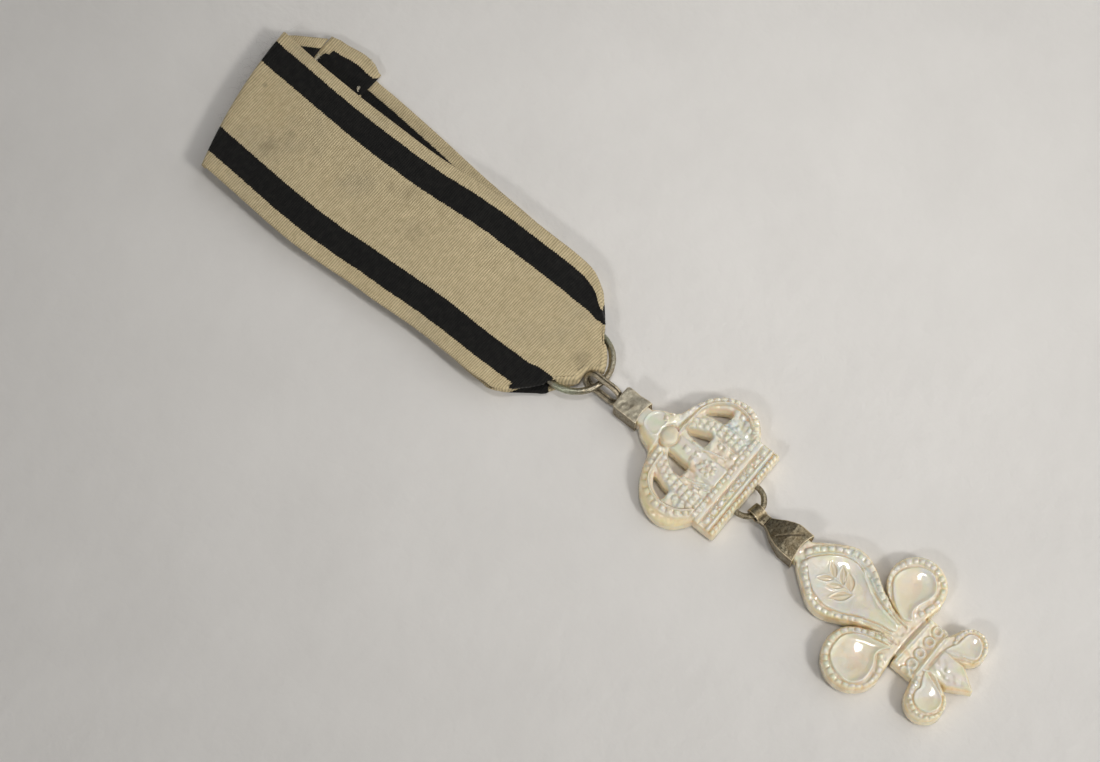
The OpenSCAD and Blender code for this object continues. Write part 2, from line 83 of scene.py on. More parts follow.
def curve(points, steps=5, closed=False):
    """Smooth line through points of any dimension."""
    p = np.asarray(points, float)
    n = len(p)
    out = []
    for i in range(n if closed else n - 1):
        four = [(i + k) % n if closed else min(max(i + k, 0), n - 1) for k in (-1, 0, 1, 2)]
        out += [spline(*p[four], k / steps) for k in range(steps)]
    if not closed:
        out.append(p[-1])
    return np.array(out)


def along(path, pitch):
    """Points at an even pitch along a path, and its direction at each."""
    path = np.asarray(path, float)
    step = np.hypot(*np.diff(path, axis=0).T)
    s = np.concatenate([[0], np.cumsum(step)])
    count = max(1, round(s[-1] / pitch))
    at = np.linspace(0, s[-1], count + 1)
    x, y = np.interp(at, s, path[:, 0]), np.interp(at, s, path[:, 1])
    near = 0.05
    dx = np.interp(at + near, s, path[:, 0]) - np.interp(at - near, s, path[:, 0])
    dy = np.interp(at + near, s, path[:, 1]) - np.interp(at - near, s, path[:, 1])
    return np.stack([x, y], 1), np.arctan2(dy, dx)


def line_distance(p, path):
    """Distance from each point to a path."""
    best = np.full(len(p), 1e9)
    for a, b in zip(path[:-1], path[1:]):
        d = b - a
        t = np.clip(((p - a) @ d) / max(d @ d, 1e-12), 0, 1)
        best = np.minimum(best, np.hypot(*(p - a - t[:, None] * d).T))
    return best


def signed_distance(p, polygon):
    """Distance to a closed outline, below zero inside it."""
    polygon = np.asarray(polygon, float)
    closed = np.vstack([polygon, polygon[:1]])
    within = np.zeros(len(p), bool)
    x, y = p.T
    for (ax, ay), (bx, by) in zip(closed[:-1], closed[1:]):
        if ay != by:
            within ^= ((ay > y) != (by > y)) & (x < (bx - ax) * (y - ay) / (by - ay) + ax)
    d = line_distance(p, closed)
    return np.where(within, -d, d)


def hull(points):
    """Convex outline round points."""
    points = sorted(map(tuple, points))

    def half(items):
        chain = []
        for q in items:
            while len(chain) > 1:
                (ax, ay), (bx, by) = chain[-2], chain[-1]
                if (bx - ax) * (q[1] - ay) - (by - ay) * (q[0] - ax) > 0:
                    break
                chain.pop()
            chain.append(q)
        return chain[:-1]

    return np.array(half(points) + half(points[::-1]))


def circle(x, y, r, sides=48):
    a = np.linspace(0, 2 * math.pi, sides, endpoint=False)
    return np.stack([x + r * np.cos(a), y + r * np.sin(a)], 1)


def two_sided(edge):
    """Closed outline from a table of y and half width."""
    edge = np.asarray(edge, float)
    return np.vstack([edge[:, ::-1], (edge * [1, -1])[::-1, ::-1]])


def link(name, points, faces):
    """A mesh object from points in millimetres."""
    mesh = bpy.data.meshes.new(name)
    mesh.from_pydata(metres(points).tolist(), [], faces)
    mesh.validate()
    mesh.shade_smooth()
    piece = bpy.data.objects.new(name, mesh)
    bpy.context.scene.collection.objects.link(piece)
    return piece


def store(piece, name, values):
    """Keeps one number per vertex on the mesh, for its material."""
    layer = piece.data.attributes.new(name, "FLOAT", "POINT")
    layer.data.foreach_set("value", np.asarray(values, np.float32))


def apply_modifiers(piece):
    bpy.context.view_layer.update()
    dg = bpy.context.evaluated_depsgraph_get()
    old = piece.data
    piece.data = bpy.data.meshes.new_from_object(
        piece.evaluated_get(dg), preserve_all_data_layers=True, depsgraph=dg)
    piece.modifiers.clear()
    bpy.data.meshes.remove(old)


# Node trees and materials


class Nodes:
    """A node tree, built from numbers, colours and the outputs of other nodes."""

    def __init__(self, tree):
        self.tree = tree

    def put(self, socket, value):
        if isinstance(value, bpy.types.NodeSocket):
            self.tree.links.new(value, socket)
        else:
            socket.default_value = value

    def node(self, kind, values=None, **settings):
        made = self.tree.nodes.new("ShaderNode" + kind)
        for key, value in settings.items():
            setattr(made, key, value)
        for key, value in (values or {}).items():
            self.put(made.inputs[key], value)
        return made

    def place(self):
        return self.node("TexCoord").outputs["Object"]

    def math(self, operation, a, b=0.0, c=0.0):
        return self.node("Math", {0: a, 1: b, 2: c}, operation=operation).outputs[0]

    def times(self, a, b):
        return self.math("MULTIPLY", a, b)

    def mix(self, share, a, b, blend="MIX"):
        made = self.node("Mix", data_type="RGBA", blend_type=blend)
        for key, value in ((0, share), (6, a), (7, b)):
            self.put(made.inputs[key], (*value, 1) if isinstance(value, tuple) else value)
        return made.outputs[2]

    def over(self, base, *coats):
        """The base with colours laid over it in turn: where each lies, how strong it is, and its colour."""
        for where, strength, colour in coats:
            base = self.mix(self.times(where, strength), base, colour)
        return base

    def ramp(self, value, *stops):
        """Grey or coloured steps by value: each stop is a place and a grey or a colour."""
        made = self.node("ValToRGB", {0: value})
        points = made.color_ramp.elements
        while len(points) < len(stops):
            points.new(0.5)
        for point, (place, colour) in zip(points, stops):
            point.position = place
            point.color = (*colour, 1) if isinstance(colour, tuple) else (colour, colour, colour, 1)
        return made.outputs[0]

    def step(self, value, low, high):
        """Zero up to the low value, one from the high value on."""
        return self.ramp(value, (low, 0.0), (high, 1.0))

    def noise(self, scale, detail=3.0, rough=0.55, distortion=0.0, vector=None):
        made = self.node("TexNoise", {
            "Scale": scale, "Detail": detail, "Roughness": rough, "Distortion": distortion})
        self.put(made.inputs["Vector"], self.place() if vector is None else vector)
        return made.outputs["Fac"]

    def kept(self, name):
        return self.node("Attribute", attribute_name=name).outputs["Fac"]

    def bump(self, height, depth, before=None):
        made = self.node("Bump", {"Height": height, "Distance": depth, "Strength": 1.0})
        if before is not None:
            self.put(made.inputs["Normal"], before)
        return made.outputs[0]


class Finish(Nodes):
    """A material and its one shader."""

    def __init__(self, name):
        self.material = bpy.data.materials.new(name)
        self.material.use_nodes = True
        super().__init__(self.material.node_tree)
        self.tree.nodes.clear()
        self.shader = self.node("BsdfPrincipled")
        self.node("OutputMaterial", {0: self.shader.outputs[0]})

    def shade(self, values):
        """Sets the shader's sockets and gives the finished material."""
        for key, value in values.items():
            self.put(self.shader.inputs[key], value)
        return self.material


# Camera and light

CAMERA_PLACE = (-123.26, -4.50, 455.25)
CAMERA_AIM = (-2.30, 95.22, 0)
CAMERA_UP = (0.7716, 0.6361, 0)
CAMERA_LENS = 85.09
SENSOR_WIDTH = 36
# The picture's right and up, on the table
PICTURE_RIGHT = np.array([0.636, -0.772, 0])
PICTURE_UP = np.array([0.772, 0.636, 0])
LAMP_WHITE = (1.0, 0.98, 0.95)
ALL_ROUND = 180
# The room's tone by height, from the horizon to straight up
SKY = [(0.0, (0.46, 0.44, 0.41)), (0.2, (0.34, 0.33, 0.31)), (0.35, 0.10), (1.0, (0.09, 0.09, 0.093))]
SKY_STRENGTH = 0.9


def look(thing, at, up):
    back = (Vector(thing.location) - Vector(at)).normalized()
    right = Vector(up).cross(back).normalized()
    thing.rotation_mode = "QUATERNION"
    thing.rotation_quaternion = Matrix((right, back.cross(right), back)).transposed().to_quaternion()


def make_camera():
    data = bpy.data.cameras.new("camera")
    data.lens = CAMERA_LENS
    data.sensor_width = SENSOR_WIDTH
    data.clip_start = 0.01
    data.clip_end = 10
    camera = bpy.data.objects.new("camera", data)
    bpy.context.scene.collection.objects.link(camera)
    camera.location = metres(CAMERA_PLACE)
    look(camera, metres(CAMERA_AIM), CAMERA_UP)
    bpy.context.scene.camera = camera


def from_picture(across, upward, height):
    """A place in metres from the badge's middle, by the picture's right and up and the height."""
    return Vector(across * PICTURE_RIGHT + upward * PICTURE_UP + (0, 0, height))


# Two lamps on the viewer's side, one overhead with a narrow beam, and a pale wall on the right: name, place,
# what it faces, width and height, watts, colour, spread in degrees
LAMPS = [
    ("right_lamp", (0.015, -0.482, 0.435), (0.02, -0.02, 0), (0.1, 0.1), 1.38, (1.0, 0.975, 0.93), ALL_ROUND),
    ("left_lamp", (-1.336, 0.002, 1.204), (0, 0, 0), (0.22, 0.22), 5.2, LAMP_WHITE, ALL_ROUND),
    ("ceiling_lamp", from_picture(0.1, 0.04, 1.15), from_picture(0.03, 0.035, 0), (0.1, 0.1), 0.0245,
     LAMP_WHITE, 16),
    ("pale_wall", from_picture(0.45, 0.1, 0.4), (0, 0, 0), (0.9, 0.7), 1.7, LAMP_WHITE, ALL_ROUND),
]


def make_light():
    for name, place, facing, size, watts, colour, spread in LAMPS:
        data = bpy.data.lights.new(name, "AREA")
        data.shape = "RECTANGLE"
        data.size, data.size_y = size
        data.energy = watts
        data.color = colour
        data.spread = math.radians(spread)
        lamp = bpy.data.objects.new(name, data)
        bpy.context.scene.collection.objects.link(lamp)
        lamp.location = place
        look(lamp, facing, (0, 0, 1))
    world = bpy.data.worlds.new("room")
    bpy.context.scene.world = world
    world.use_nodes = True
    room = Nodes(world.node_tree)
    upward = room.node("SeparateXYZ", {0: room.node("TexCoord").outputs["Generated"]}).outputs[2]
    sky = world.node_tree.nodes["Background"]
    room.put(sky.inputs["Color"], room.ramp(upward, *SKY))
    room.put(sky.inputs["Strength"], SKY_STRENGTH)
    bpy.context.scene.view_settings.view_transform = "Standard"


def make_floor():
    """A sheet of pale, slightly uneven paper."""
    half = 900
    points = [(MIDDLE[0] + x, MIDDLE[1] + y, -0.01) for x in (-half, half) for y in (-half, half)]
    piece = link("floor", points, [[0, 2, 3, 1]])
    f = Finish("paper")
    piece.data.materials.append(f.shade({
        "Base Color": f.ramp(f.noise(45, 4.0), (0.35, (0.76, 0.745, 0.725)), (0.65, (0.79, 0.775, 0.755))),
        "Normal": f.bump(f.noise(260, 4.0), 0.00025), "Roughness": 0.85, "Specular IOR Level": 0.2,
    }))


# Plates of carved shell

# A grid point this near to the outline, in steps of the grid, stands for the crossing
PLATE_NEAR = 0.2


def plate(sdf, low, high, step):
    """Grid points and faces of the region where sdf is below zero, cut cleanly along its outline."""
    xs, ys = np.arange(low[0], high[0], step), np.arange(low[1], high[1], step)
    grid = np.stack(np.meshgrid(xs, ys, indexing="ij"), 2)
    s = sdf(grid.reshape(-1, 2)).reshape(len(xs), len(ys))
    within = s < 0
    index = np.full(s.shape, -1)
    index[within] = np.arange(within.sum())
    points = list(grid[within])
    near, far = slice(None, -1), slice(1, None)
    corners = [(near, near), (far, near), (far, far), (near, far)]
    held = np.sum([within[c] for c in corners], axis=0)
    faces = np.stack([index[c][held == len(corners)] for c in corners], 1).tolist()
    cuts = {}

    def crossing(inner, outer):
        t = s[inner] / (s[inner] - s[outer])
        if t < PLATE_NEAR:
            return index[inner]
        if (inner, outer) not in cuts:
            cuts[inner, outer] = len(points)
            points.append(grid[inner] + (grid[outer] - grid[inner]) * min(t, 1 - PLATE_NEAR))
        return cuts[inner, outer]

    for i, j in zip(*np.nonzero((held > 0) & (held < len(corners)))):
        square = [(i, j), (i + 1, j), (i + 1, j + 1), (i, j + 1)]
        ring = []
        for this, following in zip(square, square[1:] + square[:1]):
            if within[this]:
                ring.append(index[this])
            if within[this] != within[following]:
                ring.append(crossing(this, following) if within[this] else crossing(following, this))
        ring = [int(v) for v in dict.fromkeys(ring)]
        if len(ring) > 2:
            faces.append(ring)
    used = np.unique(np.concatenate([np.array(f) for f in faces]))
    fresh = np.full(len(points), -1)
    fresh[used] = np.arange(len(used))
    return np.array(points)[used], [[int(fresh[v]) for v in f] for f in faces]


def sides(face):
    return zip(face, face[1:] + face[:1])


def rims(faces):
    """Closed loops of the edges that only one face has."""
    edges = {side for f in faces for side in sides(f)}
    after = {}
    for a, b in edges:
        if (b, a) not in edges:
            after.setdefault(a, []).append(b)
    loops = []
    while after:
        start = next(iter(after))
        loop = [start]
        while True:
            options = after[loop[-1]]
            following = options.pop()
            if not options:
                del after[loop[-1]]
            if following == start:
                break
            loop.append(following)
        loops.append(loop)
    return loops


def between(one, other):
    """Faces between two closed rows of points."""
    return np.stack([np.roll(one, -1), one, other, np.roll(other, -1)], 1).tolist()


# Wall below the carved face: share of the way down, share of the flare outwards
WALL = [(0.06, 0.3), (0.18, 0.6), (0.4, 0.9), (0.65, 1.0), (0.85, 0.95), (0.95, 0.7)]
SHELL_BACK = 0.45
BLUR_ROUNDS = 8
HOLLOW_GAIN = 6


def carved(name, sdf, height, flare, lean, low, high, step):
    """A piece of shell: carved face, a rounded wall that leans out by its flare, and a slightly wavy back."""
    points, faces = plate(sdf, low, high, step)
    count = len(points)
    z, stain, amber = height(points)
    here, there = np.array([side for f in faces for side in sides(f)]).T
    degree = np.maximum(np.bincount(here, minlength=count), 1)
    blurred = z
    for _ in range(BLUR_ROUNDS):
        blurred = 0.5 * blurred + 0.5 * np.bincount(here, blurred[there], count) / degree
    back = SHELL_BACK + 0.02 * waves(points, 7, 5)
    outwards = np.stack([sdf(points + one) - sdf(points + other) for one, other in lean], 1)
    outwards /= np.maximum(np.linalg.norm(outwards, axis=1), 1e-9)[:, None]
    rows = [np.column_stack([points, z]), np.column_stack([points, back])]
    # How far each point lies below its blurred surroundings, later painted as brown shade in the cuts
    hollows = [np.clip((blurred - z) * HOLLOW_GAIN, -1, 1), np.zeros(count)]
    stains = [stain, np.zeros(count)]
    # Amber share per point: partly edge colour, partly painted glow of light through the shell
    walls = [amber, np.ones(count)]
    all_faces = faces + [[v + count for v in reversed(f)] for f in faces]
    total = 2 * count
    for loop in rims(faces):
        loop = np.array(loop)
        spread = flare(points[loop]) * (1 + 0.12 * waves(points[loop], 3, 8))
        previous = loop
        for down, out in WALL:
            ring = points[loop] + outwards[loop] * (out * spread)[:, None]
            rows.append(np.column_stack([ring, z[loop] * (1 - down) + back[loop] * down]))
            hollows.append(np.zeros(len(loop)))
            stains.append(stain[loop] * (1 - down))
            # The wall's amber grows downwards: partly edge colour, partly painted glow of light through the
            # shell
            walls.append(np.full(len(loop), min(1.0, 0.3 + down)))
            current = total + np.arange(len(loop))
            all_faces += between(previous, current)
            previous = current
            total += len(loop)
        all_faces += between(previous, loop + count)
    piece = link(name, np.vstack(rows), all_faces)
    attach(piece, "root")
    for kind, values in (("hollow", hollows), ("wall", walls), ("stain", stains)):
        store(piece, kind, np.concatenate(values))
    return piece


# Heights of the carved faces: the highest point, and the ground that the carving stands on
TOP = 4.15
GROUND = 3.35
# Cut tops lean this way on average
GLINT = np.array([0.1, 0.08])
# Points read off the crown's face lie this far from their true place, by perspective
READ_SHIFT = np.array([-0.17, -0.14])


class Face:
    """The height of a carved face, built up stroke by stroke from lines that are moved by a shift."""

    def __init__(self, points, seed, shift):
        self.p = points
        self.z = np.full(len(points), GROUND)
        self.stain = np.zeros(len(points))
        self.rng = np.random.default_rng(seed)
        self.shift = shift

    def read(self, points):
        return curve(np.asarray(points, float) + self.shift)

    def near(self, path, reach):
        """The face's points inside a path's box, or within reach of it."""
        low, high = path.min(0) - reach, path.max(0) + reach
        return np.nonzero(np.all((self.p > low) & (self.p < high), 1))[0]

    def blend(self, share, height):
        self.z = self.z * (1 - share) + height * share

    def level(self, points, half, rise, soft):
        """A flat-topped band, raised above the ground along a line."""
        path = self.read(points)
        k = self.near(path, half + soft)
        s = smooth((half + soft / 2 - line_distance(self.p[k], path)) / soft)
        self.z[k] = np.maximum(self.z[k], self.z[k] * (1 - s) + (GROUND + rise) * s)

    def stroke(self, points, half, rise):
        """A rounded ridge, or a groove where rise is below zero."""
        path = self.read(points)
        k = self.near(path, 2 * half)
        self.z[k] += rise * np.exp(-1.6 * (line_distance(self.p[k], path) / half) ** 2)

    def bead(self, c, turn, radius, rise, stretch=1.0):
        """A bead with a round top that is cut square."""
        tilt = self.rng.normal(0, 0.1, 2) + GLINT
        k = self.near(c[None], radius * stretch * 1.2)
        if not len(k):
            return
        d = self.p[k] - c
        u = (d[:, 0] * math.cos(turn) + d[:, 1] * math.sin(turn)) / stretch
        v = d[:, 1] * math.cos(turn) - d[:, 0] * math.sin(turn)
        round_part = np.sqrt(np.clip(1 - (u * u + v * v) / radius**2, 0, 1))
        cut = np.clip(1.7 * (1 - np.maximum(abs(u), abs(v)) / radius), 0, 1)
        shape = 0.45 * round_part + 0.55 * cut
        foot = 0.5 * (np.min(self.z[k]) + np.median(self.z[k]))
        raised = foot + rise * shape + (d @ tilt) * (shape > 0)
        self.z[k] = np.where(shape > 0.02, np.maximum(self.z[k], raised), self.z[k])

    def stud(self, x, y, *bead):
        """One bead at a place."""
        self.bead(np.array([x, y]) + self.shift, *bead)

    def beads(self, points, pitch, radius, rise, stretch=1.0):
        """Cut beads along a line, each turned, tilted and sized a little differently."""
        for c, turn in zip(*along(self.read(points), pitch)):
            c = c + self.rng.normal(0, 0.05, 2)
            self.bead(c, turn, radius * self.rng.uniform(0.85, 1.12), rise, stretch)

    def sprinkle(self, corners, pitch, radius, rise):
        """Small beads and cuts all over an area."""
        corners = np.array(corners) + self.shift
        low, high = corners.min(0), corners.max(0)
        for i, x in enumerate(np.arange(low[0], high[0], pitch * 0.87)):
            for y in np.arange(low[1] + (i % 2) * pitch / 2, high[1], pitch):
                c = np.array([x, y]) + self.rng.normal(0, 0.18 * pitch, 2)
                if signed_distance(c[None], corners)[0] < -0.1:
                    self.bead(c, self.rng.uniform(0, 3), radius * self.rng.uniform(0.6, 1.2), rise, 1.25)

    def leaf(self, base, tip, half, depth):
        """A lens-shaped leaf, cut in with a crisp edge and stained darker."""
        base, tip = np.array(base), np.array(tip)
        length = np.linalg.norm(tip - base)
        axis = (tip - base) / length
        k = self.near(np.array([base, tip]), half * 2)
        d = self.p[k] - base
        t = np.clip((d @ axis) / length, 0, 1)
        side = abs(d[:, 1] * axis[0] - d[:, 0] * axis[1])
        wide = half * np.sin(math.pi * t**0.9) + 1e-6
        cut = smooth((wide - side) / 0.16) * (t > 0) * (t < 1)
        lip = hump((side - wide - 0.06) / 0.12) * (t > 0.02) * (t < 0.98)
        self.z[k] += 0.1 * lip - depth * cut * (0.6 + 0.4 * side / wide - 0.35 * hump(side / 0.1))
        self.stain[k] = np.maximum(self.stain[k], cut * 0.3)

    def scoop(self, outline, rim, depth, width, centre=None, radius=1.0):
        """A smooth hollow inside an outline, with a round bowl about its centre if it has one."""
        k = self.near(outline, 0.4)
        d = signed_distance(self.p[k], outline)
        inside = smooth(0.5 - d / 0.16)
        bowl = rim - depth * (1 - (1 - np.clip(-d / width, 0, 1)) ** 2)
        if centre is not None:
            away = np.hypot(*(self.p[k] - centre).T) / radius
            deep = rim - 1.5 * depth * (1 - np.minimum(away, 1) ** 2)
            bowl = -0.07 * np.logaddexp(-bowl / 0.07, -deep / 0.07)
        self.z[k] = self.z[k] * (1 - inside) + bowl * inside

    def edge(self, depth, width, drop, seed):
        """Rounds the face off over a width along its outline, and stains it there in patches."""
        t = np.clip(1 - depth / width, 0, 1)
        self.z -= drop * (1 - np.sqrt(np.clip(1 - t * t, 0, 1)))
        patches = smooth(0.3 + waves(self.p, 3.0, seed))
        self.stain = np.maximum(self.stain, 0.5 * smooth(1 - depth / 0.4) * patches)

    def under_cap(self, y):
        """Keeps the tongue, from y on, below its cap."""
        self.blend(smooth((self.p[:, 1] - y) / 0.4), np.minimum(self.z, TOP - 0.12))


# The crown: the middle of its base, then its outline as y above there and half width
CROWN_AT = np.array([2.4, 53.1])
CROWN_EDGE = two_sided([
    (0, 9.8), (2.3, 9.8), (4.6, 9.8), (5.3, 11.1), (7, 12.8), (9, 13.65), (11, 13.7), (13, 13.1), (15, 11.8),
    (16.7, 9.8), (17.9, 7.2), (18.8, 4.8), (19.8, 3.8), (21.4, 3.2), (23, 2.15), (23.6, 1.85), (28.3, 1.8),
])
CROWN_OUTLINE = np.vstack([CROWN_EDGE[:4], curve(CROWN_EDGE[3:-3]), CROWN_EDGE[-3:]]) + CROWN_AT
CROWN_OPENINGS = [curve(corners, 3, closed=True) for corners in (
    [(-7.8, 65), (-7.5, 64.6), (-5.6, 64.6), (-5.2, 66.4), (-4.6, 68.3), (-5, 68.6), (-6.9, 67.2)],
    [(-2.2, 64.8), (-1.9, 64.6), (0.3, 64.6), (0.5, 66.5), (0.7, 69.3), (0.2, 69.4), (-1.2, 68.1),
     (-2.2, 66.6)],
    [(4.9, 65), (5.2, 64.7), (7.5, 64.7), (7.2, 66.5), (5.9, 69.3), (5.4, 69.3), (4.9, 68), (4.8, 66)],
    [(10.9, 64.5), (13.3, 64.4), (13.2, 65.9), (11.3, 68.5), (10, 68.6), (9.9, 68.2), (10.5, 66.2)],
)]
# How far an opening's upper side slopes in
OPENING_SLOPE = np.array([0.42, 0.36])
OUTER_FLARE = 0.28
OPENING_FLARE = -0.02
# The walls lean by how the outline's distance changes between two places: a pair for across, a pair for along
CROWN_LEAN = [([0.02, 0], [-0.02, 0]), ([0.02, 0], [0, -0.02])]
CROWN_RIM_RIGHT = [
    (12.6, 58.7), (14.4, 60.1), (15.6, 61.9), (15.9, 63.8), (15.5, 65.9), (14.4, 67.9), (12.6, 69.6),
    (10.4, 70.6), (8.2, 71.2), (6, 71.9), (5, 73.5),
]
CROWN_RIM_LEFT = [
    (-6.2, 58.7), (-8.1, 60.8), (-9, 63.4), (-8.9, 66), (-7.7, 68.4), (-5.6, 70.1), (-3, 70.6), (-0.6, 70.9),
]
CROWN_ARCH_RIGHT = [(8.9, 58.9), (9.4, 61.5), (9.4, 64.2), (8.8, 66.6), (7.4, 69.2)]
CROWN_ARCH_LEFT = [(-4.1, 58.9), (-4.2, 61.5), (-3.9, 64.4), (-3.3, 66.8), (-1.9, 69.2)]
# Raised bands of the crown: half width, rise, softness of the edge, points
CROWN_BANDS = [
    (2.0, 0.42, 0.7, [(2.1, 59.4), (2.1, 69.8)]), (1.15, 0.3, 0.5, CROWN_ARCH_RIGHT),
    (1.15, 0.3, 0.5, CROWN_ARCH_LEFT), (0.85, 0.35, 0.5, CROWN_RIM_RIGHT), (0.85, 0.35, 0.5, CROWN_RIM_LEFT),
]
# Ridges and grooves of the crown: half width, rise, points
CROWN_STROKES = [
    (0.3, 0.72, [(4.2, 70), (5.6, 70.1), (7.6, 69.9), (9.4, 69.8), (11.1, 69.4), (12.7, 68.4), (13.9, 67.1),
                 (14.7, 65.6), (15, 64), (14.6, 62), (13.6, 60.4)]),
    (0.3, 0.72, [(-5.8, 59.2), (-7.1, 60.6), (-8, 62.6), (-8.3, 64.8), (-7.9, 66.8), (-6.8, 68.4),
                 (-5.3, 69.4), (-2.4, 69.9), (-0.8, 70)]),
    (0.2, 0.3, [(-2.4, 66.8), (-1.4, 68.4), (-0.4, 69.5)]),
    (0.2, 0.3, [(-1.9, 64.2), (-1.6, 62.6), (-1, 61.2), (-0.5, 60.3)]),
    (0.2, 0.25, [(-1.9, 62), (-1.7, 60.6), (-1.1, 59)]),
    (0.2, 0.3, [(4.4, 67), (4.5, 65.4), (4.7, 64.3), (5.2, 62.4), (5.6, 60.4)]),
    (0.18, 0.25, [(7.5, 59), (7.4, 61.2), (7.6, 63.4)]),
    (0.18, 0.25, [(10.4, 59.4), (10.7, 61.6), (10.6, 63.8), (10, 66.4), (9.3, 68.2)]),
    (0.22, -0.25, [(-6.9, 59.4), (-8.2, 61.8), (-8.65, 64.4), (-8.4, 66.6), (-7.2, 68.7), (-5.2, 69.9)]),
    (0.22, -0.25, [(5, 70.8), (8, 70.5), (10.8, 69.9), (13, 68.9), (14.5, 67.2), (15.3, 65.2), (15.3, 63),
                   (14.7, 61.2)]),
]
# Areas of small beads and nicks between the arches: pitch, radius, rise, corners
CROWN_AREAS = [
    (1.65, 0.62, 0.26, [(-7.6, 64), (-7.2, 60.8), (-5.6, 59), (-4.6, 59), (-4.9, 64.2)]),
    (1.6, 0.6, 0.26, [(5.3, 64.2), (5.8, 59), (7.8, 59), (7.6, 64.2)]),
    (1.8, 0.62, 0.24, [(10.7, 63.8), (10.9, 59.2), (12.8, 59.2), (14.5, 61.2), (14.6, 64.6), (13.4, 66.8)]),
    (1.4, 0.5, 0.3, [(-3.4, 64.2), (-3.2, 59.2), (-1.6, 59.2), (-2, 64.2)]),
    (2.1, 0.6, 0.14, [(0, 66.6), (-0.4, 59.4), (4.6, 59.4), (4.2, 66.6)]),
]
BOSS = [(0.6, 71.3), (1, 70.1), (2.5, 69.4), (4.2, 70.2), (4.5, 71.6), (3.4, 72.5), (1.6, 72.4)]
BOSS_HOLLOW = [
    (0.9, 73), (0.6, 74.6), (1.2, 76), (3, 76.4), (4.7, 75.7), (5.4, 74.2), (4.6, 72.9), (2.6, 72.5),
]
PETALS_OF_ROSETTE = 7


def crown_sdf(p):
    """Distance to the crown's outline, with its openings narrowed on the side away from the viewer."""
    d = signed_distance(p, CROWN_OUTLINE)
    for hole in CROWN_OPENINGS:
        d = np.maximum(d, -np.maximum(signed_distance(p, hole), signed_distance(p + OPENING_SLOPE, hole)))
    return d


def crown_flare(p):
    return np.where(signed_distance(p, CROWN_OUTLINE) > -0.3, OUTER_FLARE, OPENING_FLARE)


def crown_base(f):
    """Base band: beads, a smooth strip, cut stones, a smooth moulding and a row of slanted cuts."""
    base = f.p[:, 1] < 58.7
    f.z[base] = GROUND + 0.05 + 0.04 * waves(f.p[base], 1.5, 4)
    f.level([(-7.4, 57.3), (12.4, 57.3)], 0.45, 0.25, 0.4)
    f.beads([(-6.1, 58.2), (12.3, 58.2)], 1.15, 0.54, 0.5, 1.2)
    f.level([(-7, 54.75), (12.4, 54.75)], 0.3, 0.5, 0.5)
    f.level([(-6.8, 53.5), (12.4, 53.5)], 0.5, 0.42, 0.3)
    f.stroke([(-7, 54.2), (12.4, 54.2)], 0.14, -0.35)
    f.stroke([(-7, 56.75), (12.4, 56.75)], 0.16, -0.22)
    stones = np.arange(-5.6, 12, 2.06)
    for x in stones:
        f.stud(x, 55.75, f.rng.normal(0, 0.12), 0.56, 0.55, 1.4)
        if x < stones[-1]:
            for y in (56.11, 55.41):
                f.stud(x + 1.03 + f.rng.normal(0, 0.08), y, 0, 0.28, 0.4)
    for x in np.arange(-6.2, 12.2, 0.95):
        f.stroke([(x - 0.25, 52.95), (x + 0.25, 54.05)], 0.15, -0.4)
        f.stud(x + 0.48, 53.55, 1.1, 0.42, 0.3, 1.25)


def crown_boss(f):
    """Raised boss with a pointed foot, the beads beside it, and a hollow below the cap."""
    f.blend(smooth((f.p[:, 1] - 71.6) / 0.6), GROUND + 0.62)
    f.scoop(curve(BOSS_HOLLOW, 4, closed=True), TOP - 0.04, 0.22, 0.7)
    d = signed_distance(f.p, curve(np.array(BOSS) + READ_SHIFT, 4, closed=True))
    inside = smooth(0.5 - d / 0.18)
    f.z -= 0.3 * hump((d - 0.2) / 0.2)
    f.blend(inside, TOP - 0.02 - 0.22 * (1 - np.clip(-d / 0.7, 0, 1)) ** 2)
    f.stain = np.maximum(f.stain, 0.3 * inside)
    for x, y, radius in ((5.4, 71.9, 0.8), (4.9, 73.4, 0.55), (6.2, 73, 0.45)):
        f.stud(x, y, 0.4, radius, 0.4)


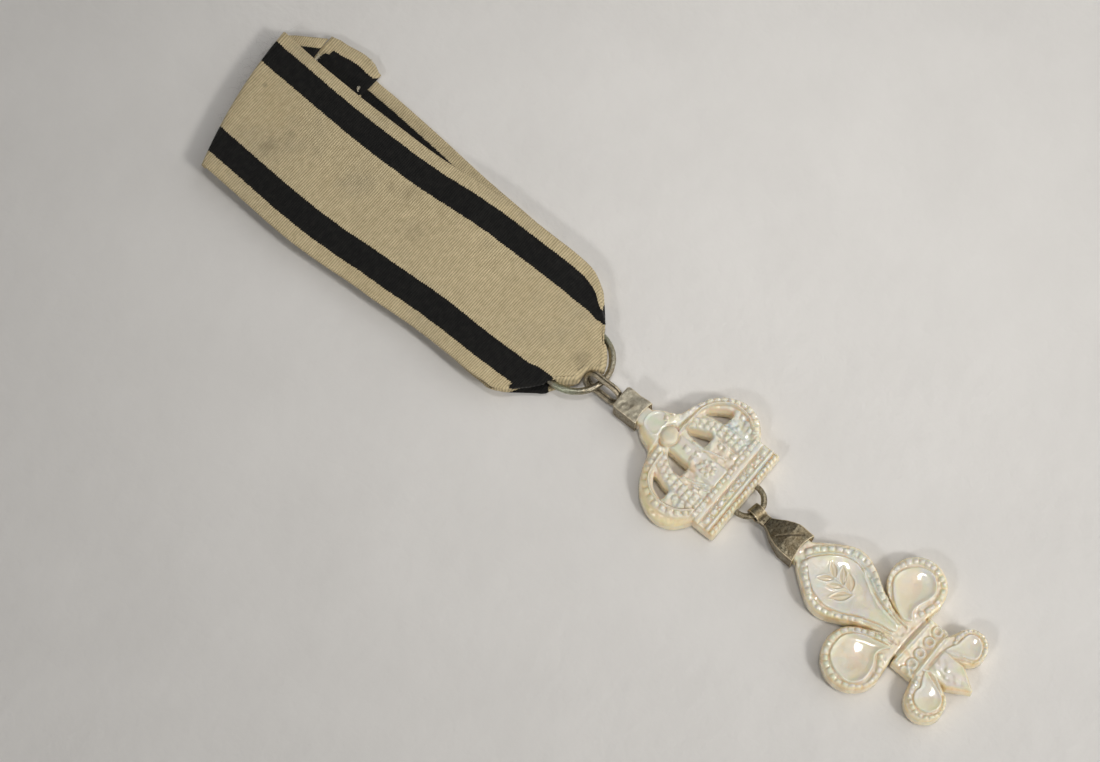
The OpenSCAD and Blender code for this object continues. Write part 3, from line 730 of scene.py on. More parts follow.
def crown_height(p):
    """Height, stain and amber of the crown's face; the amber is partly edge colour and partly painted glow of
    light through the shell.
    """
    f = Face(p, 11, READ_SHIFT)
    f.z += 0.05 * waves(p, 2.2, 3) + 0.03 * waves(p, 0.9, 13)
    for half, rise, soft, points in CROWN_BANDS:
        f.level(points, half, rise, soft)
    for half, rise, points in CROWN_STROKES:
        f.stroke(points, half, rise)
    for pitch, radius, rise, corners in CROWN_AREAS:
        f.sprinkle(corners, pitch, radius, rise)
    for a in 2 * math.pi / PETALS_OF_ROSETTE * np.arange(PETALS_OF_ROSETTE):
        f.stud(2.1 + 1.15 * math.cos(a), 61.7 + 1.3 * math.sin(a), a, 0.44, 0.34, 1.2)
    f.stud(2.1, 61.7, 0, 0.5, 0.4)
    for x, y, turn in ((1.3, 64.6, 1.2), (3.1, 64.8, 1.9), (2.6, 67, 1.5)):
        f.stud(x, y, turn, 0.62, 0.28, 1.1)
    for arch in (CROWN_ARCH_RIGHT, CROWN_ARCH_LEFT):
        for side in (0.58, -0.58):
            f.beads(np.array(arch) + [side, 0], 1.3, 0.66, 0.5)
    f.beads(CROWN_RIM_RIGHT[:7], 1.4, 0.7, 0.48)
    f.beads(CROWN_RIM_RIGHT[6:10], 1.9, 0.62, 0.46, 1.5)
    f.beads(CROWN_RIM_LEFT, 1.4, 0.66, 0.48)
    crown_base(f)
    crown_boss(f)
    mouths = [signed_distance(p, hole) for hole in CROWN_OPENINGS]
    for mouth in mouths:
        f.z -= 1.7 * smooth(0.25 - mouth / 1.3)
    # The left shoulder is rounded off more than the right one
    left = smooth((-2 - p[:, 0]) / 5) * smooth((p[:, 1] - 57.2) / 2.5)
    left = np.maximum(left, smooth((2 - p[:, 0]) / 3) * smooth((p[:, 1] - 70.5) / 1.5))
    depth = -signed_distance(p, CROWN_OUTLINE)
    f.edge(depth, 0.35 + 2.3 * left, 0.3 + 0.8 * left, 14)
    f.under_cap(76.6)
    # Amber along the outline, stronger on the left shoulder and round the openings: partly edge colour,
    # partly painted glow of light through the shell
    amber = smooth(1 - depth / (0.5 + 1.9 * left)) * (0.5 + 0.5 * left)
    return f.z, f.stain, np.max([amber] + [0.42 * smooth(0.2 - mouth / 0.5) for mouth in mouths], axis=0)


# The lily: its edges as y and half width, circles as x, y and radius, roots as x, y and radius
LILY_TURN = math.radians(-2)
LILY_SHIFT = -0.5
LILY_FLARE = 0.26
LILY_LEAN = [([0.02, 0], [-0.02, 0]), ([0.02, 0], [-0.02, 0])]
PETAL_EDGE = [
    (13, 1.8), (18, 2.1), (21, 2.9), (23.5, 4.1), (26, 5.6), (28, 6.65), (30, 7.1), (32, 6.85), (34, 5.8),
    (36.5, 4.05), (38.2, 2.75), (38.6, 2.35), (43, 2.3),
]
SIDE_PETALS = [(-9.2, 19.7, 5.8), (8.5, 19.3, 5.5)]
CURLS = [(-6.8, 5.3, 3.75), (6.1, 5.3, 3.2)]
PETAL_ROOT = (3.2, 16.4, 1.8)
CURL_ROOT = (2.6, 8.6, 1.6)
TIE = [(-5.4, 9.7), (5.4, 9.7), (5.4, 14.1), (-5.4, 14.1)]
NECK = [(-4.2, 13.6), (4.8, 13.6), (4.6, 15.2), (-3.8, 15.2)]
FOOT = [(-2.6, 10), (-2.6, 3.9), (-0.15, 0.05), (0.15, 0.05), (2.6, 3.9), (2.6, 10)]


def lily_place(points):
    """From the lily's own upright outline to its place on the badge."""
    c, s = math.cos(LILY_TURN), math.sin(LILY_TURN)
    return (np.asarray(points, float) + [LILY_SHIFT, 0]) @ np.array([[c, s], [-s, c]])


def lily_outlines():
    shapes = [two_sided(np.vstack([curve(PETAL_EDGE[:11], 4), PETAL_EDGE[11:]])), TIE, FOOT, NECK]
    for table, (root_x, root_y, root_r) in ((SIDE_PETALS, PETAL_ROOT), (CURLS, CURL_ROOT)):
        for x, y, r in table:
            root = circle(math.copysign(root_x, x), root_y, root_r, 24)
            shapes.append(hull(np.vstack([circle(x, y, r), root])))
    return [lily_place(s) for s in shapes]


LILY_OUTLINES = lily_outlines()
PETAL_RIM_RIGHT = [
    (1.4, 38), (2.5, 37), (3.7, 35.7), (4.9, 34), (5.9, 32.2), (6.5, 30.2), (6.4, 28.3), (5.8, 26.4),
    (4.7, 24.7), (3.5, 23.2), (2.6, 21.4),
]
PETAL_RIM_LEFT = [
    (-1, 37.2), (-2.5, 35.8), (-4, 34.3), (-5.1, 33), (-5.8, 31.4), (-5.8, 29.4), (-5.3, 27.4), (-4.2, 25.4),
    (-3.1, 23.4),
]
PETAL_PANEL = [
    (0.1, 37.2), (1.6, 36.2), (3.2, 34.6), (4.5, 32.6), (5.1, 30.3), (4.6, 28.4), (3.5, 26.6), (2.2, 24.4),
    (1.2, 21.8), (0.7, 19.2), (0.4, 17.2), (-0.7, 17.2), (-1, 19.3), (-1.7, 22), (-2.7, 24.6), (-4, 27),
    (-4.6, 29.2), (-4.5, 31.2), (-3.9, 33), (-2.7, 34.7), (-1.2, 36.3),
]
# Hollows of the side petals and curls: depth, width of the slope, middle and radius of the bowl, outline
SCOOPS = [
    (0.36, 1.3, (-8.9, 20), 4.3, [
        (-10.5, 23.9), (-7.4, 24), (-5.5, 22.6), (-4.5, 20.6), (-3.9, 18.4), (-3.3, 15.9), (-4.5, 16.8),
        (-6, 17.3), (-7.6, 16.5), (-9.5, 16.1), (-11.6, 16.4), (-13.1, 18), (-13.1, 20.2), (-12.3, 22.4)]),
    (0.36, 1.3, (8.4, 19.4), 4.0, [
        (7.2, 23.1), (9.2, 22.9), (11, 21.6), (12.1, 20), (12.2, 18.2), (11.3, 16.7), (9.8, 15.7), (8, 15.8),
        (6, 16.6), (4.4, 16.8), (3, 16), (2.2, 17.2), (2.7, 19), (4, 20.8), (5.6, 22.2)]),
    (0.22, 0.8, (-6.6, 5.4), 2.5, [
        (-6.9, 7.8), (-8.4, 7.1), (-9, 5.4), (-8.4, 3.7), (-6.8, 2.9), (-5.2, 3.3), (-4.3, 4.6), (-3.6, 6.4),
        (-2.9, 8.6), (-4.4, 8.2), (-5.6, 7.6)]),
    (0.22, 0.8, (5.9, 5.0), 2.2, [
        (5.8, 7), (7.4, 6.6), (8, 5.2), (7.4, 3.8), (6, 2.9), (4.4, 3), (3.6, 4.4), (3, 6.2), (2.2, 8.2),
        (3.6, 7.8), (4.6, 7.2)]),
]
# Bead rows of the side petals and curls, then of the middle petal: pitch, radius, rise, stretch, points
RIM_BEADS = [
    (1.25, 0.6325, 0.46, 1.15, [
        (-3, 17.6), (-3.4, 19.4), (-4.2, 21.8), (-5.6, 23.8), (-7.6, 24.9), (-9.9, 24.9), (-12.1, 23.9),
        (-13.6, 21.9), (-14.2, 19.4), (-13.5, 17), (-11.8, 15.3), (-9.5, 14.8), (-7.4, 15.3), (-5.8, 16.3)]),
    (1.2, 0.598, 0.46, 1.15, [
        (1.9, 20.2), (3.3, 21.8), (5.3, 23.2), (7.6, 23.9), (10, 23.5), (11.8, 22.3), (12.9, 20.6),
        (13.2, 18.6), (12.6, 16.6), (11.2, 15.1), (9.2, 14.5), (7, 14.7), (5, 15.3)]),
    (0.95, 0.483, 0.46, 1.15, [
        (-4.6, 8.9), (-6.2, 8.7), (-8.2, 8.2), (-9.5, 6.6), (-9.8, 4.9), (-9.2, 3.2), (-7.8, 2.1), (-6, 2.1),
        (-4.6, 3)]),
    (0.9, 0.46, 0.46, 1.15, [
        (4.7, 7.6), (6.4, 7.7), (8, 6.9), (8.7, 5.4), (8.3, 3.7), (7, 2.5), (5.3, 2.1), (3.7, 2.5)]),
]
PETAL_BEADS = [(1.35, 0.66, 0.44, 1.2, PETAL_RIM_RIGHT), (1.3, 0.64, 0.44, 1.15, PETAL_RIM_LEFT)]
# Ridges and grooves of the lily: half width, rise, points
LILY_STROKES = [
    (0.18, 0.4, [(0.3, 37.6), (1.8, 36.5), (3.5, 34.8), (4.8, 32.7), (5.4, 30.4), (4.9, 28.2)]),
    (0.3, 0.5, [(4.9, 28.2), (3.7, 26.6), (2.4, 24.4), (1.4, 21.8), (0.9, 19.2), (0.6, 17.2)]),
    (0.18, 0.35, [(4.4, 26.2), (3.1, 24), (2.1, 21.6), (1.5, 19.2), (1.1, 17)]),
    (0.18, 0.3, [(1.9, 19.6), (1.7, 17.6), (1.6, 16)]),
    (0.22, 0.4, [(-4.8, 28), (-3.9, 25.6), (-2.7, 23), (-1.8, 20.6), (-1.2, 17.4)]),
    (0.18, 0.35, [(-4, 24.4), (-3, 22), (-2.2, 19.6), (-1.7, 17)]),
    (0.18, -0.35, [(-4.9, 24.4), (-3.9, 22.4), (-3, 20), (-2.4, 17.6), (-2.2, 15.6)]),
    (0.18, -0.35, [(4.6, 24), (3.2, 22.2), (2.2, 20.2), (1.5, 18.2), (1.3, 16)]),
    (0.22, 0.4, [(-5.3, 23), (-4.2, 20.8), (-3.4, 18.4), (-3, 16)]),
    (0.16, -0.2, [(-3.6, 14.7), (0, 14.7), (3.8, 14.3)]),
    (0.16, -0.2, [(-1.6, 8.9), (0, 8.8), (1.4, 8.7)]),
    (0.24, 0.42, [(-3, 9), (-2.4, 7.6), (-3.1, 5.9), (-4.2, 4.2)]),
    (0.2, 0.4, [(2.2, 7.8), (2.7, 6.4), (3.3, 5.1)]),
    (0.16, -0.3, [(-2.2, 7.8), (-2.3, 6.6), (-3, 4.9), (-3.9, 3.6)]),
    (0.16, -0.3, [(1.8, 7.8), (2, 6.6), (2.8, 4.9), (3.4, 3.4)]),
]
# The sprig: each leaf's base, tip and half width, and the stem
SPRIG = [
    ((0, 27), (-3.3, 30.1), 0.864), ((0.2, 27.5), (2.9, 30.1), 0.888), ((0.1, 29.1), (-1.7, 32), 0.624),
    ((0.2, 29.3), (3.2, 31.6), 0.72), ((0.3, 31.3), (-1.7, 34.1), 0.6), ((0.5, 31.2), (2.7, 33.9), 0.672),
]
STEM = [(0.05, 26.8), (0.2, 29.2), (0.4, 31.4)]
LEAF_DEPTH = 0.16


def lily_sdf(p):
    return np.min([signed_distance(p, outline) for outline in LILY_OUTLINES], axis=0)


def lily_flare(p):
    return LILY_FLARE


def lily_tie(f):
    """Tie band: two smooth rails, and rings of a drill between them."""
    p = f.p
    band = (signed_distance(p, lily_place(TIE)) < 0) & (p[:, 1] > 8.9) & (p[:, 1] < 14.3)
    f.z[band] = (GROUND + 0.12 + 0.05 * waves(p, 1.1, 16))[band]
    f.stroke([(-4.6, 13.95), (4, 13.35)], 0.46, 0.66)
    f.stroke([(-4.4, 9.6), (4.7, 9.45)], 0.46, 0.66)
    for middle in ((-5.2, 11.5), (-3.3, 11.3), (-0.9, 11.3), (1.8, 11.2), (4.2, 11.2)):
        away = np.hypot(*(p - middle).T)
        f.z += 0.36 * hump((away - 0.78) / 0.22) - 0.3 * hump(away / 0.4) - 0.15 * hump((away - 1.2) / 0.2)
    for x, y in ((-4.9, 14), (-5.5, 10), (4.9, 13.2), (5.2, 10.2)):
        f.stud(x, y, 0.4, 0.5, 0.42, 1.2)


def lily_foot(f):
    """The foot has two shallow facets that meet in a ridge, with a raised line along either lower edge."""
    x, y = f.p.T
    tip_x, tip_y = lily_place([(0, 0)])[0]
    side = abs(x - tip_x - (y - tip_y) * math.tan(-LILY_TURN))
    d = signed_distance(f.p, lily_place(FOOT))
    shape = GROUND + 0.55 - 0.12 * side + 0.04 * waves(f.p, 1.3, 17) - 0.12 * smooth((4.2 - y) / 4)
    shape += 0.12 * hump((d + 0.5) / 0.2) * smooth((4.6 - y) / 1.2)
    f.blend(smooth(0.5 - (d + 0.25) / 0.3) * smooth((8.6 - y) / 0.5), shape)
    f.stud(-0.4, 5.6, 0.5, 0.5, 0.2)
    f.stud(-1.6, 5.1, 0.5, 0.42, 0.2)


def lily_height(p):
    """Height, stain and amber of the lily's face; the amber is partly edge colour and partly painted glow of
    light through the shell.
    """
    f = Face(p, 21, np.zeros(2))
    f.z += 0.04 * waves(p, 2.5, 6) + 0.03 * waves(p, 0.9, 15)
    f.level(np.array(PETAL_RIM_RIGHT) + READ_SHIFT, 0.7, 0.25, 0.5)
    f.level(np.array(PETAL_RIM_LEFT) + READ_SHIFT, 0.7, 0.25, 0.5)
    f.scoop(curve(PETAL_PANEL, 4, closed=True), GROUND + 0.46, 0.3, 3.0)
    for base, tip, half in SPRIG:
        f.leaf(base, tip, half, LEAF_DEPTH)
    f.stroke(STEM, 0.12, 0.2)
    for depth, width, middle, radius, points in SCOOPS:
        f.scoop(curve(points, 4, closed=True), GROUND + 0.5, depth, width, middle, radius)
    for pitch, radius, rise, stretch, points in RIM_BEADS:
        f.beads(points, pitch, radius, rise, stretch)
    for half, rise, points in LILY_STROKES:
        f.stroke(points, half, rise)
    for pitch, radius, rise, stretch, points in PETAL_BEADS:
        f.beads(points, pitch, radius, rise, stretch)
    lily_tie(f)
    lily_foot(f)
    left = smooth((-2 - p[:, 0]) / 6)
    depth = -lily_sdf(p)
    f.edge(depth, 0.4 + 0.3 * left, 0.32 + 0.25 * left, 18)
    f.under_cap(38.6)
    # Amber along the outline: partly edge colour, partly painted glow of light through the shell
    return f.z, f.stain, 0.6 * smooth(1 - depth / 0.7)


def shell_material():
    """Mother-of-pearl: ivory with drifting pink, green and blue, brown painted shade in the cuts, and amber
    down its sides that is partly its edge colour and partly painted glow of light through the shell.
    """
    f = Finish("mother_of_pearl")
    drift = f.noise(110, 3.0, 0.5, 1.0)
    height = f.node("SeparateXYZ", {0: f.place()}).outputs[2]
    layer = f.math("MULTIPLY_ADD", height, 4200.0, f.times(drift, 9.0))
    band = f.math("MULTIPLY_ADD", f.math("SINE", layer), 0.5, 0.5)
    pearl = f.ramp(
        drift, (0.30, (0.66, 0.72, 0.56)), (0.42, (0.81, 0.74, 0.53)), (0.50, (0.84, 0.70, 0.57)),
        (0.58, (0.81, 0.74, 0.57)), (0.70, (0.63, 0.71, 0.71)))
    rainbow = f.ramp(
        band, (0.0, (0.89, 0.68, 0.61)), (0.35, (0.81, 0.74, 0.56)), (0.65, (0.68, 0.78, 0.59)),
        (1.0, (0.60, 0.71, 0.80)))
    return f.shade({
        "Base Color": f.over(
            f.mix(0.35, pearl, rainbow),
            (f.step(f.noise(520, 4.0), 0.35, 0.7), 0.3, (0.90, 0.83, 0.71)),
            # Brown where a point lies below its blurred surroundings: painted shade in the cuts
            (f.step(f.kept("hollow"), 0.14, 0.85), 0.6, (0.73, 0.54, 0.27)),
            # Amber on walls, edges and back: partly the shell's edge colour, partly painted glow of light
            # through the shell
            (f.step(f.kept("wall"), 0.05, 0.9), 0.85, (1.0, 0.82, 0.50)),
            (f.kept("stain"), 1.0, (0.70, 0.50, 0.24)),
            (f.step(f.noise(330, 2.0, 0.4), 0.70, 0.77), 0.5, (0.80, 0.52, 0.24))),
        "Roughness": f.ramp(f.noise(900), (0.3, 0.34), (0.75, 0.5)),
        "Normal": f.bump(f.noise(800, 2.0), 0.00008, f.bump(f.noise(2600), 0.00001)),
        "Metallic": 0.14, "Specular IOR Level": 0.6, "IOR": 1.6,
        "Subsurface Weight": 0.8, "Subsurface Scale": 0.0026, "Subsurface Radius": (1.0, 0.78, 0.48),
        "Coat Weight": 1.0, "Coat Roughness": 0.05, "Coat IOR": 1.55,
    })


# The ribbon: rows across the strip, as left x, left y, right x, right y, then a rise above the part's height
# and a bow along y where there are any

RIBBON_WIDE = 30.5
CLOTH = 0.36
BACK_Z = 0.3
HEM_LOW_Z = 0.8
HEM_Z = 1.45
FLAP_Z = 2.9
FRONT_Z = 4.05
HEM_INNER = [(-4.6, 166.4, 25.2, 166.8), (-4.8, 161.9, 25.2, 161.8)]
HEM_OUTER = [
    (-5, 161.9, 25.6, 161.8), (-5.2, 164.4, 25.9, 164.6, 0.1), (-5.5, 168, 25.4, 168.4),
    (-5.6, 169.6, 25.3, 170), (-5.6, 169.9, 25.3, 170.3),
]
BACK = [
    (-6, 168, 24.6, 168.4), (-6.8, 160, 23.5, 160), (-7.4, 154, 23.2, 154), (-8.2, 142, 22.3, 142),
    (-9.2, 130, 21.2, 130), (-9.8, 118, 20.5, 118), (-10.6, 108, 19.7, 108), (-10.4, 103.5, 18.9, 103.5, 0.1),
    (-9.5, 101, 18.2, 101, 0.2), (-8, 98.6, 17.2, 98.9, 0.3), (-6.2, 96.2, 15.3, 97, 0.4),
    (-4.6, 94.2, 12.6, 94.6, 0.5), (-3.4, 94, 9.4, 92, 0.4),
]
FRONT = [
    (-2.4, 94.4, 8.6, 91.6), (-4.3, 95.1, 11.5, 93.7), (-6.3, 96.7, 13.4, 95.9), (-8.1, 98.5, 15.3, 97.6),
    (-9.7, 100, 16.9, 99.2), (-10.6, 101.9, 18.2, 101.6), (-11.2, 103.8, 19, 103.8, 0.05),
    (-11.5, 107.8, 19.2, 107.8, 0.1), (-11.3, 112, 19.2, 112), (-11.2, 117, 19.3, 117, -0.1),
    (-11.3, 122, 19.3, 122, -0.1), (-11.6, 126, 19.1, 126), (-11.9, 130, 18.7, 130),
    (-12.1, 136, 18.1, 136, -0.1), (-12.6, 142, 17.8, 142, -0.1), (-12.95, 149, 17.75, 149),
    (-12.8, 155, 17.8, 156), (-12.5, 160, 17.95, 162.2, 0.05, 0.1), (-12.25, 164.5, 18.1, 168.2, 0.1, 0.5),
    (-12, 168.8, 18.5, 173.8, 0.1, 0.9), (-11.88, 171.2, 18.75, 177.2, 0.1, 1.1),
]
# Outermost lines of the folds: left x, left y, right x, right y, bow
HEM_BOTTOM = (-4.9, 160.3, 24.7, 159.8, 0)
HEM_TOP = (-5.8, 171.5, 24.9, 172.3, 0.1)
TIP = (-2.4, 93.6, 8.6, 90.8, 0)
TOP_FOLD = (-11.8, 172.6, 18.9, 179, 1.2)
FOLD_STEPS = 8
TIP_LOW_Z = 0.55
TIP_R = 0.8
# How far the tip's edge reaches past a straight line, by share of its length
TIP_SHARE = [0, 0.12, 0.24, 0.37, 0.5, 0.56, 0.63, 0.76, 0.9, 1]
TIP_REACH = [0, 1.3, 2.3, 1.8, 1.9, 2.7, 3.7, 2.8, 1.3, 0]
# The flap's rows lie this many steps behind the top fold
FLAP = [2.0, 4.0, 6.0, 8.3]
FLAP_STEP = (0.58, -0.82)
FLAP_BOW = 1.0
COLUMNS = 62
ROW_PITCH = 0.9
HEM_PITCH = 0.8
# Corners near the ring, folded under
WRAP_STEPS = 7
WRAP_R = 0.3
WRAP_LONG = 3.2
# Edges of the whole strip along the front, also where its corners are folded under: y, left x, right x
EDGE_Y = [88, 95, 100, 104, 108, 117, 122, 130, 136, 142, 149, 156, 164, 172, 180]
EDGE_LEFT = [
    -10.9, -10.9, -11, -11.2, -11.4, -11.2, -11.3, -11.9, -12.1, -12.6, -12.95, -12.8, -12.3, -11.9, -11.7,
]
EDGE_RIGHT = [18.4, 18.6, 19, 19.2, 19.3, 19.35, 19.35, 18.75, 18.15, 17.85, 17.75, 17.85, 18.1, 18.6, 18.95]
BACK_EDGE_Y = [88, 95, 101, 104, 108, 200]
BACK_EDGE_LEFT = [-12.2, -12.2, -12, -10.8, -10.6, -10.6]
BACK_WIDE = 30.4
BACK_END = 171.4
STRIPES = [(2.85, 8.0), (23.05, 28.05)]
RIB = 0.46
WARP = 0.24


def at_height(z, rows):
    """Whole rows: place, height and bow."""
    padded = [(*row, 0, 0)[:6] for row in rows]
    return [(*row[:4], z + row[4], row[5]) for row in padded]


def fold(line, z_from, z_to, side, r=None):
    """Rows of a rounded fold, whose outermost line is given."""
    xl, yl, xr, yr, bow = line
    r = r or abs(z_to - z_from) / 2
    rows = []
    for k in range(FOLD_STEPS + 1):
        a = math.pi * (k / FOLD_STEPS - 0.5)
        dy = side * (r * math.cos(a) - r)
        rows.append((xl, yl + dy, xr, yr + dy, (z_from + z_to) / 2 + (z_to - z_from) / 2 * math.sin(a), bow))
    return rows


def finer(rows, pitch):
    """More rows between rows, on smooth lines."""
    rows = np.array(rows, float)
    last = len(rows) - 1
    out = []
    for i in range(last):
        a, b, c, d = (rows[min(max(i + k, 0), last)] for k in (-1, 0, 1, 2))
        steps = max(1, round(max(abs(c[1] - b[1]), abs(c[3] - b[3])) / pitch))
        out += [tuple(spline(a, b, c, d, k / steps)) for k in range(steps)]
    return out + [tuple(rows[-1])]


def ribbon_rows():
    """Each row with the part of the strip that it belongs to."""
    xl, yl, xr, yr, _ = TOP_FOLD
    dx, dy = FLAP_STEP
    flap = [(xl + dx * s, yl + dy * s, xr + dx * s, yr + dy * s, FLAP_Z - 0.08 * s, FLAP_BOW) for s in FLAP]
    parts = [
        ("hem", finer(at_height(HEM_LOW_Z, HEM_INNER), HEM_PITCH)),
        ("hem", fold(HEM_BOTTOM, HEM_LOW_Z, HEM_Z, -1)),
        ("hem", finer(at_height(HEM_Z, HEM_OUTER), HEM_PITCH)),
        ("hem", fold(HEM_TOP, HEM_Z, BACK_Z, 1)),
        ("back", finer(at_height(BACK_Z, BACK), ROW_PITCH)),
        ("tip", fold(TIP, TIP_LOW_Z, FRONT_Z, -1, TIP_R)),
        ("front", finer(at_height(FRONT_Z, FRONT), ROW_PITCH)),
        ("flap", fold(TOP_FOLD, FRONT_Z + 0.1, FLAP_Z + 0.2, 1)),
        ("flap", finer(flap, HEM_PITCH)),
    ]
    return [(part, row) for part, rows in parts for row in rows]


def front_height(u, x, y, z):
    """The front panel's gentle waves, its raised left edge near the ring, and its creases at the tip."""
    z = z + 0.14 * np.sin(x * 0.32 + y * 0.11) * smooth((y - 96) / 12) + 0.07 * np.sin(y * 0.33 - x * 0.2)
    z += 0.5 * hump((y - 107.5) / 4.5) * (1 - u) ** 8
    return z + 0.10 * np.sin(u * 26) * hump((y - 92) / 4)


def weave(part, row, u, x, y):
    """The cloth's own place along one row: across the strip, and lengthwise along its ribs."""
    xl, yl, xr, _, z, bow = row
    if part in ("front", "tip"):
        left, right = np.interp(y, EDGE_Y, EDGE_LEFT), np.interp(y, EDGE_Y, EDGE_RIGHT)
        across = (x - left) / (right - left) * RIBBON_WIDE
        if part == "front":
            rolled = smooth((103.2 - y) / 1.5) * smooth((y - 94.9) / 0.7)
            across = across + 3.0 * rolled * hump((xr - x) / 1.2)
            across = across + 1.2 * smooth((100.6 - y) / 0.8) * hump((x - xl) / 0.7)
            across = across - 0.8 * (1 - u) * smooth((100 - y) / 3)
        # Near the ring the ribs run down to the right
        return across, y + 0.1 * smooth((118 - y) / 26) * (x - 3.6)
    if part == "back" and yl < 104:
        return (x - np.interp(yl, BACK_EDGE_Y, BACK_EDGE_LEFT)) / BACK_WIDE * RIBBON_WIDE, BACK_END - y
    across = u * RIBBON_WIDE
    if part == "hem" and bow == 0:
        across = across - 1.9 * smooth((161.2 - yl) / 1.2 if z > 1 else 1.0)
    if part == "hem" and yl > 169.0 and z > 0.35:
        across = np.where(y > 170.9 - 0.24 * (x - 19), 29.6, across)
    return across, BACK_END - y


def ribbon_line(part, row):
    """The points of one row, its corners folded under, with the cloth's own place at each."""
    xl, yl, xr, yr, z, bow = row
    u = np.linspace(0, 1, COLUMNS)
    near_ring = part in ("front", "back", "tip")
    reach = smooth((96.0 - (yl + yr) / 2) / 2.6) if near_ring else 0.0
    x = xl + (xr - xl) * u
    y = yl + (yr - yl) * u + bow * 4 * u * (1 - u) - reach * np.interp(u, TIP_SHARE, TIP_REACH)
    z = front_height(u, x, y, z) if part == "front" else np.full(COLUMNS, float(z))
    line = np.stack([x, y, z], 1)
    wrapped = part in ("front", "back") and yl < 106
    wrap = smooth((30.0 - (xr - xl)) / 5) * (1 - reach) if wrapped else 0.0
    s = np.linspace(0, 1, WRAP_STEPS + 1)[1:] * (wrap * (math.pi * WRAP_R + WRAP_LONG))
    bend = np.clip(s / WRAP_R, 0, math.pi)
    rest = np.clip(s - math.pi * WRAP_R, 0, None)
    out = WRAP_R * np.sin(bend) - rest
    under = (WRAP_R * (1 - np.cos(bend)) + 0.02 * rest) * (-1 if part == "front" else 1)
    left, right = (line[end] + np.stack([sign * out, 0 * s, under], 1) for end, sign in ((0, -1), (-1, 1)))
    across, lengthwise = weave(part, row, u, x, y)
    across = np.concatenate([(across[0] - s)[::-1], across, across[-1] + s])
    return np.vstack([left[::-1], line, right]), across, np.pad(lengthwise, WRAP_STEPS, "edge")


def make_ribbon():
    rows = ribbon_rows()
    points, across, lengthwise = (np.array(a) for a in zip(*(ribbon_line(part, row) for part, row in rows)))
    run = np.linalg.norm(np.diff(points[:, COLUMNS // 2], axis=0), axis=1)
    run = np.concatenate([[0], np.cumsum(run)])
    parts = np.array([part for part, _ in rows])
    # The ribs of the hem are counted along the strip
    lengthwise[parts == "hem"] = run[parts == "hem", None]
    # The flap goes on from the front's last row
    last = np.nonzero(parts == "front")[0][-1]
    across[last + 1:] = across[last]
    lengthwise[last + 1:] = lengthwise[last] + (run[last + 1:, None] - run[last])
    n, m = points.shape[:2]
    index = np.arange(n * m).reshape(n, m)
    quads = np.stack([index[:-1, :-1], index[:-1, 1:], index[1:, 1:], index[1:, :-1]], -1).reshape(-1, 4)
    piece = link("ribbon_cloth", points.reshape(-1, 3), quads.tolist())
    store(piece, "across", across.ravel())
    store(piece, "along", lengthwise.ravel())
    work = bmesh.new()
    work.from_mesh(piece.data)
    bmesh.ops.remove_doubles(work, verts=work.verts, dist=1e-6)
    bmesh.ops.dissolve_degenerate(work, edges=work.edges, dist=1e-6)
    bmesh.ops.recalc_face_normals(work, faces=work.faces)
    work.to_mesh(piece.data)
    work.free()
    thick = piece.modifiers.new("cloth", "SOLIDIFY")
    thick.thickness = CLOTH * MM
    thick.offset = 0
    thick.use_even_offset = False
    apply_modifiers(piece)
    piece.data.shade_smooth()
    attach(piece, "root")
    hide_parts("ribbon")
    return piece


# Stains of the ribbon: x, y, size, share
STAINS = [
    (8.0, 174.3, 0.5, 0.75), (-1.2, 165.6, 1.8, 0.22), (3.4, 163.8, 0.9, 0.3), (4.2, 157.6, 0.7, 0.3),
    (7.2, 142.0, 0.9, 0.25), (8.6, 138.6, 2.2, 0.22), (3.4, 133.0, 2.4, 0.2), (-1.0, 165.0, 1.4, 0.2),
    (3.6, 92.6, 1.6, 0.4),
]


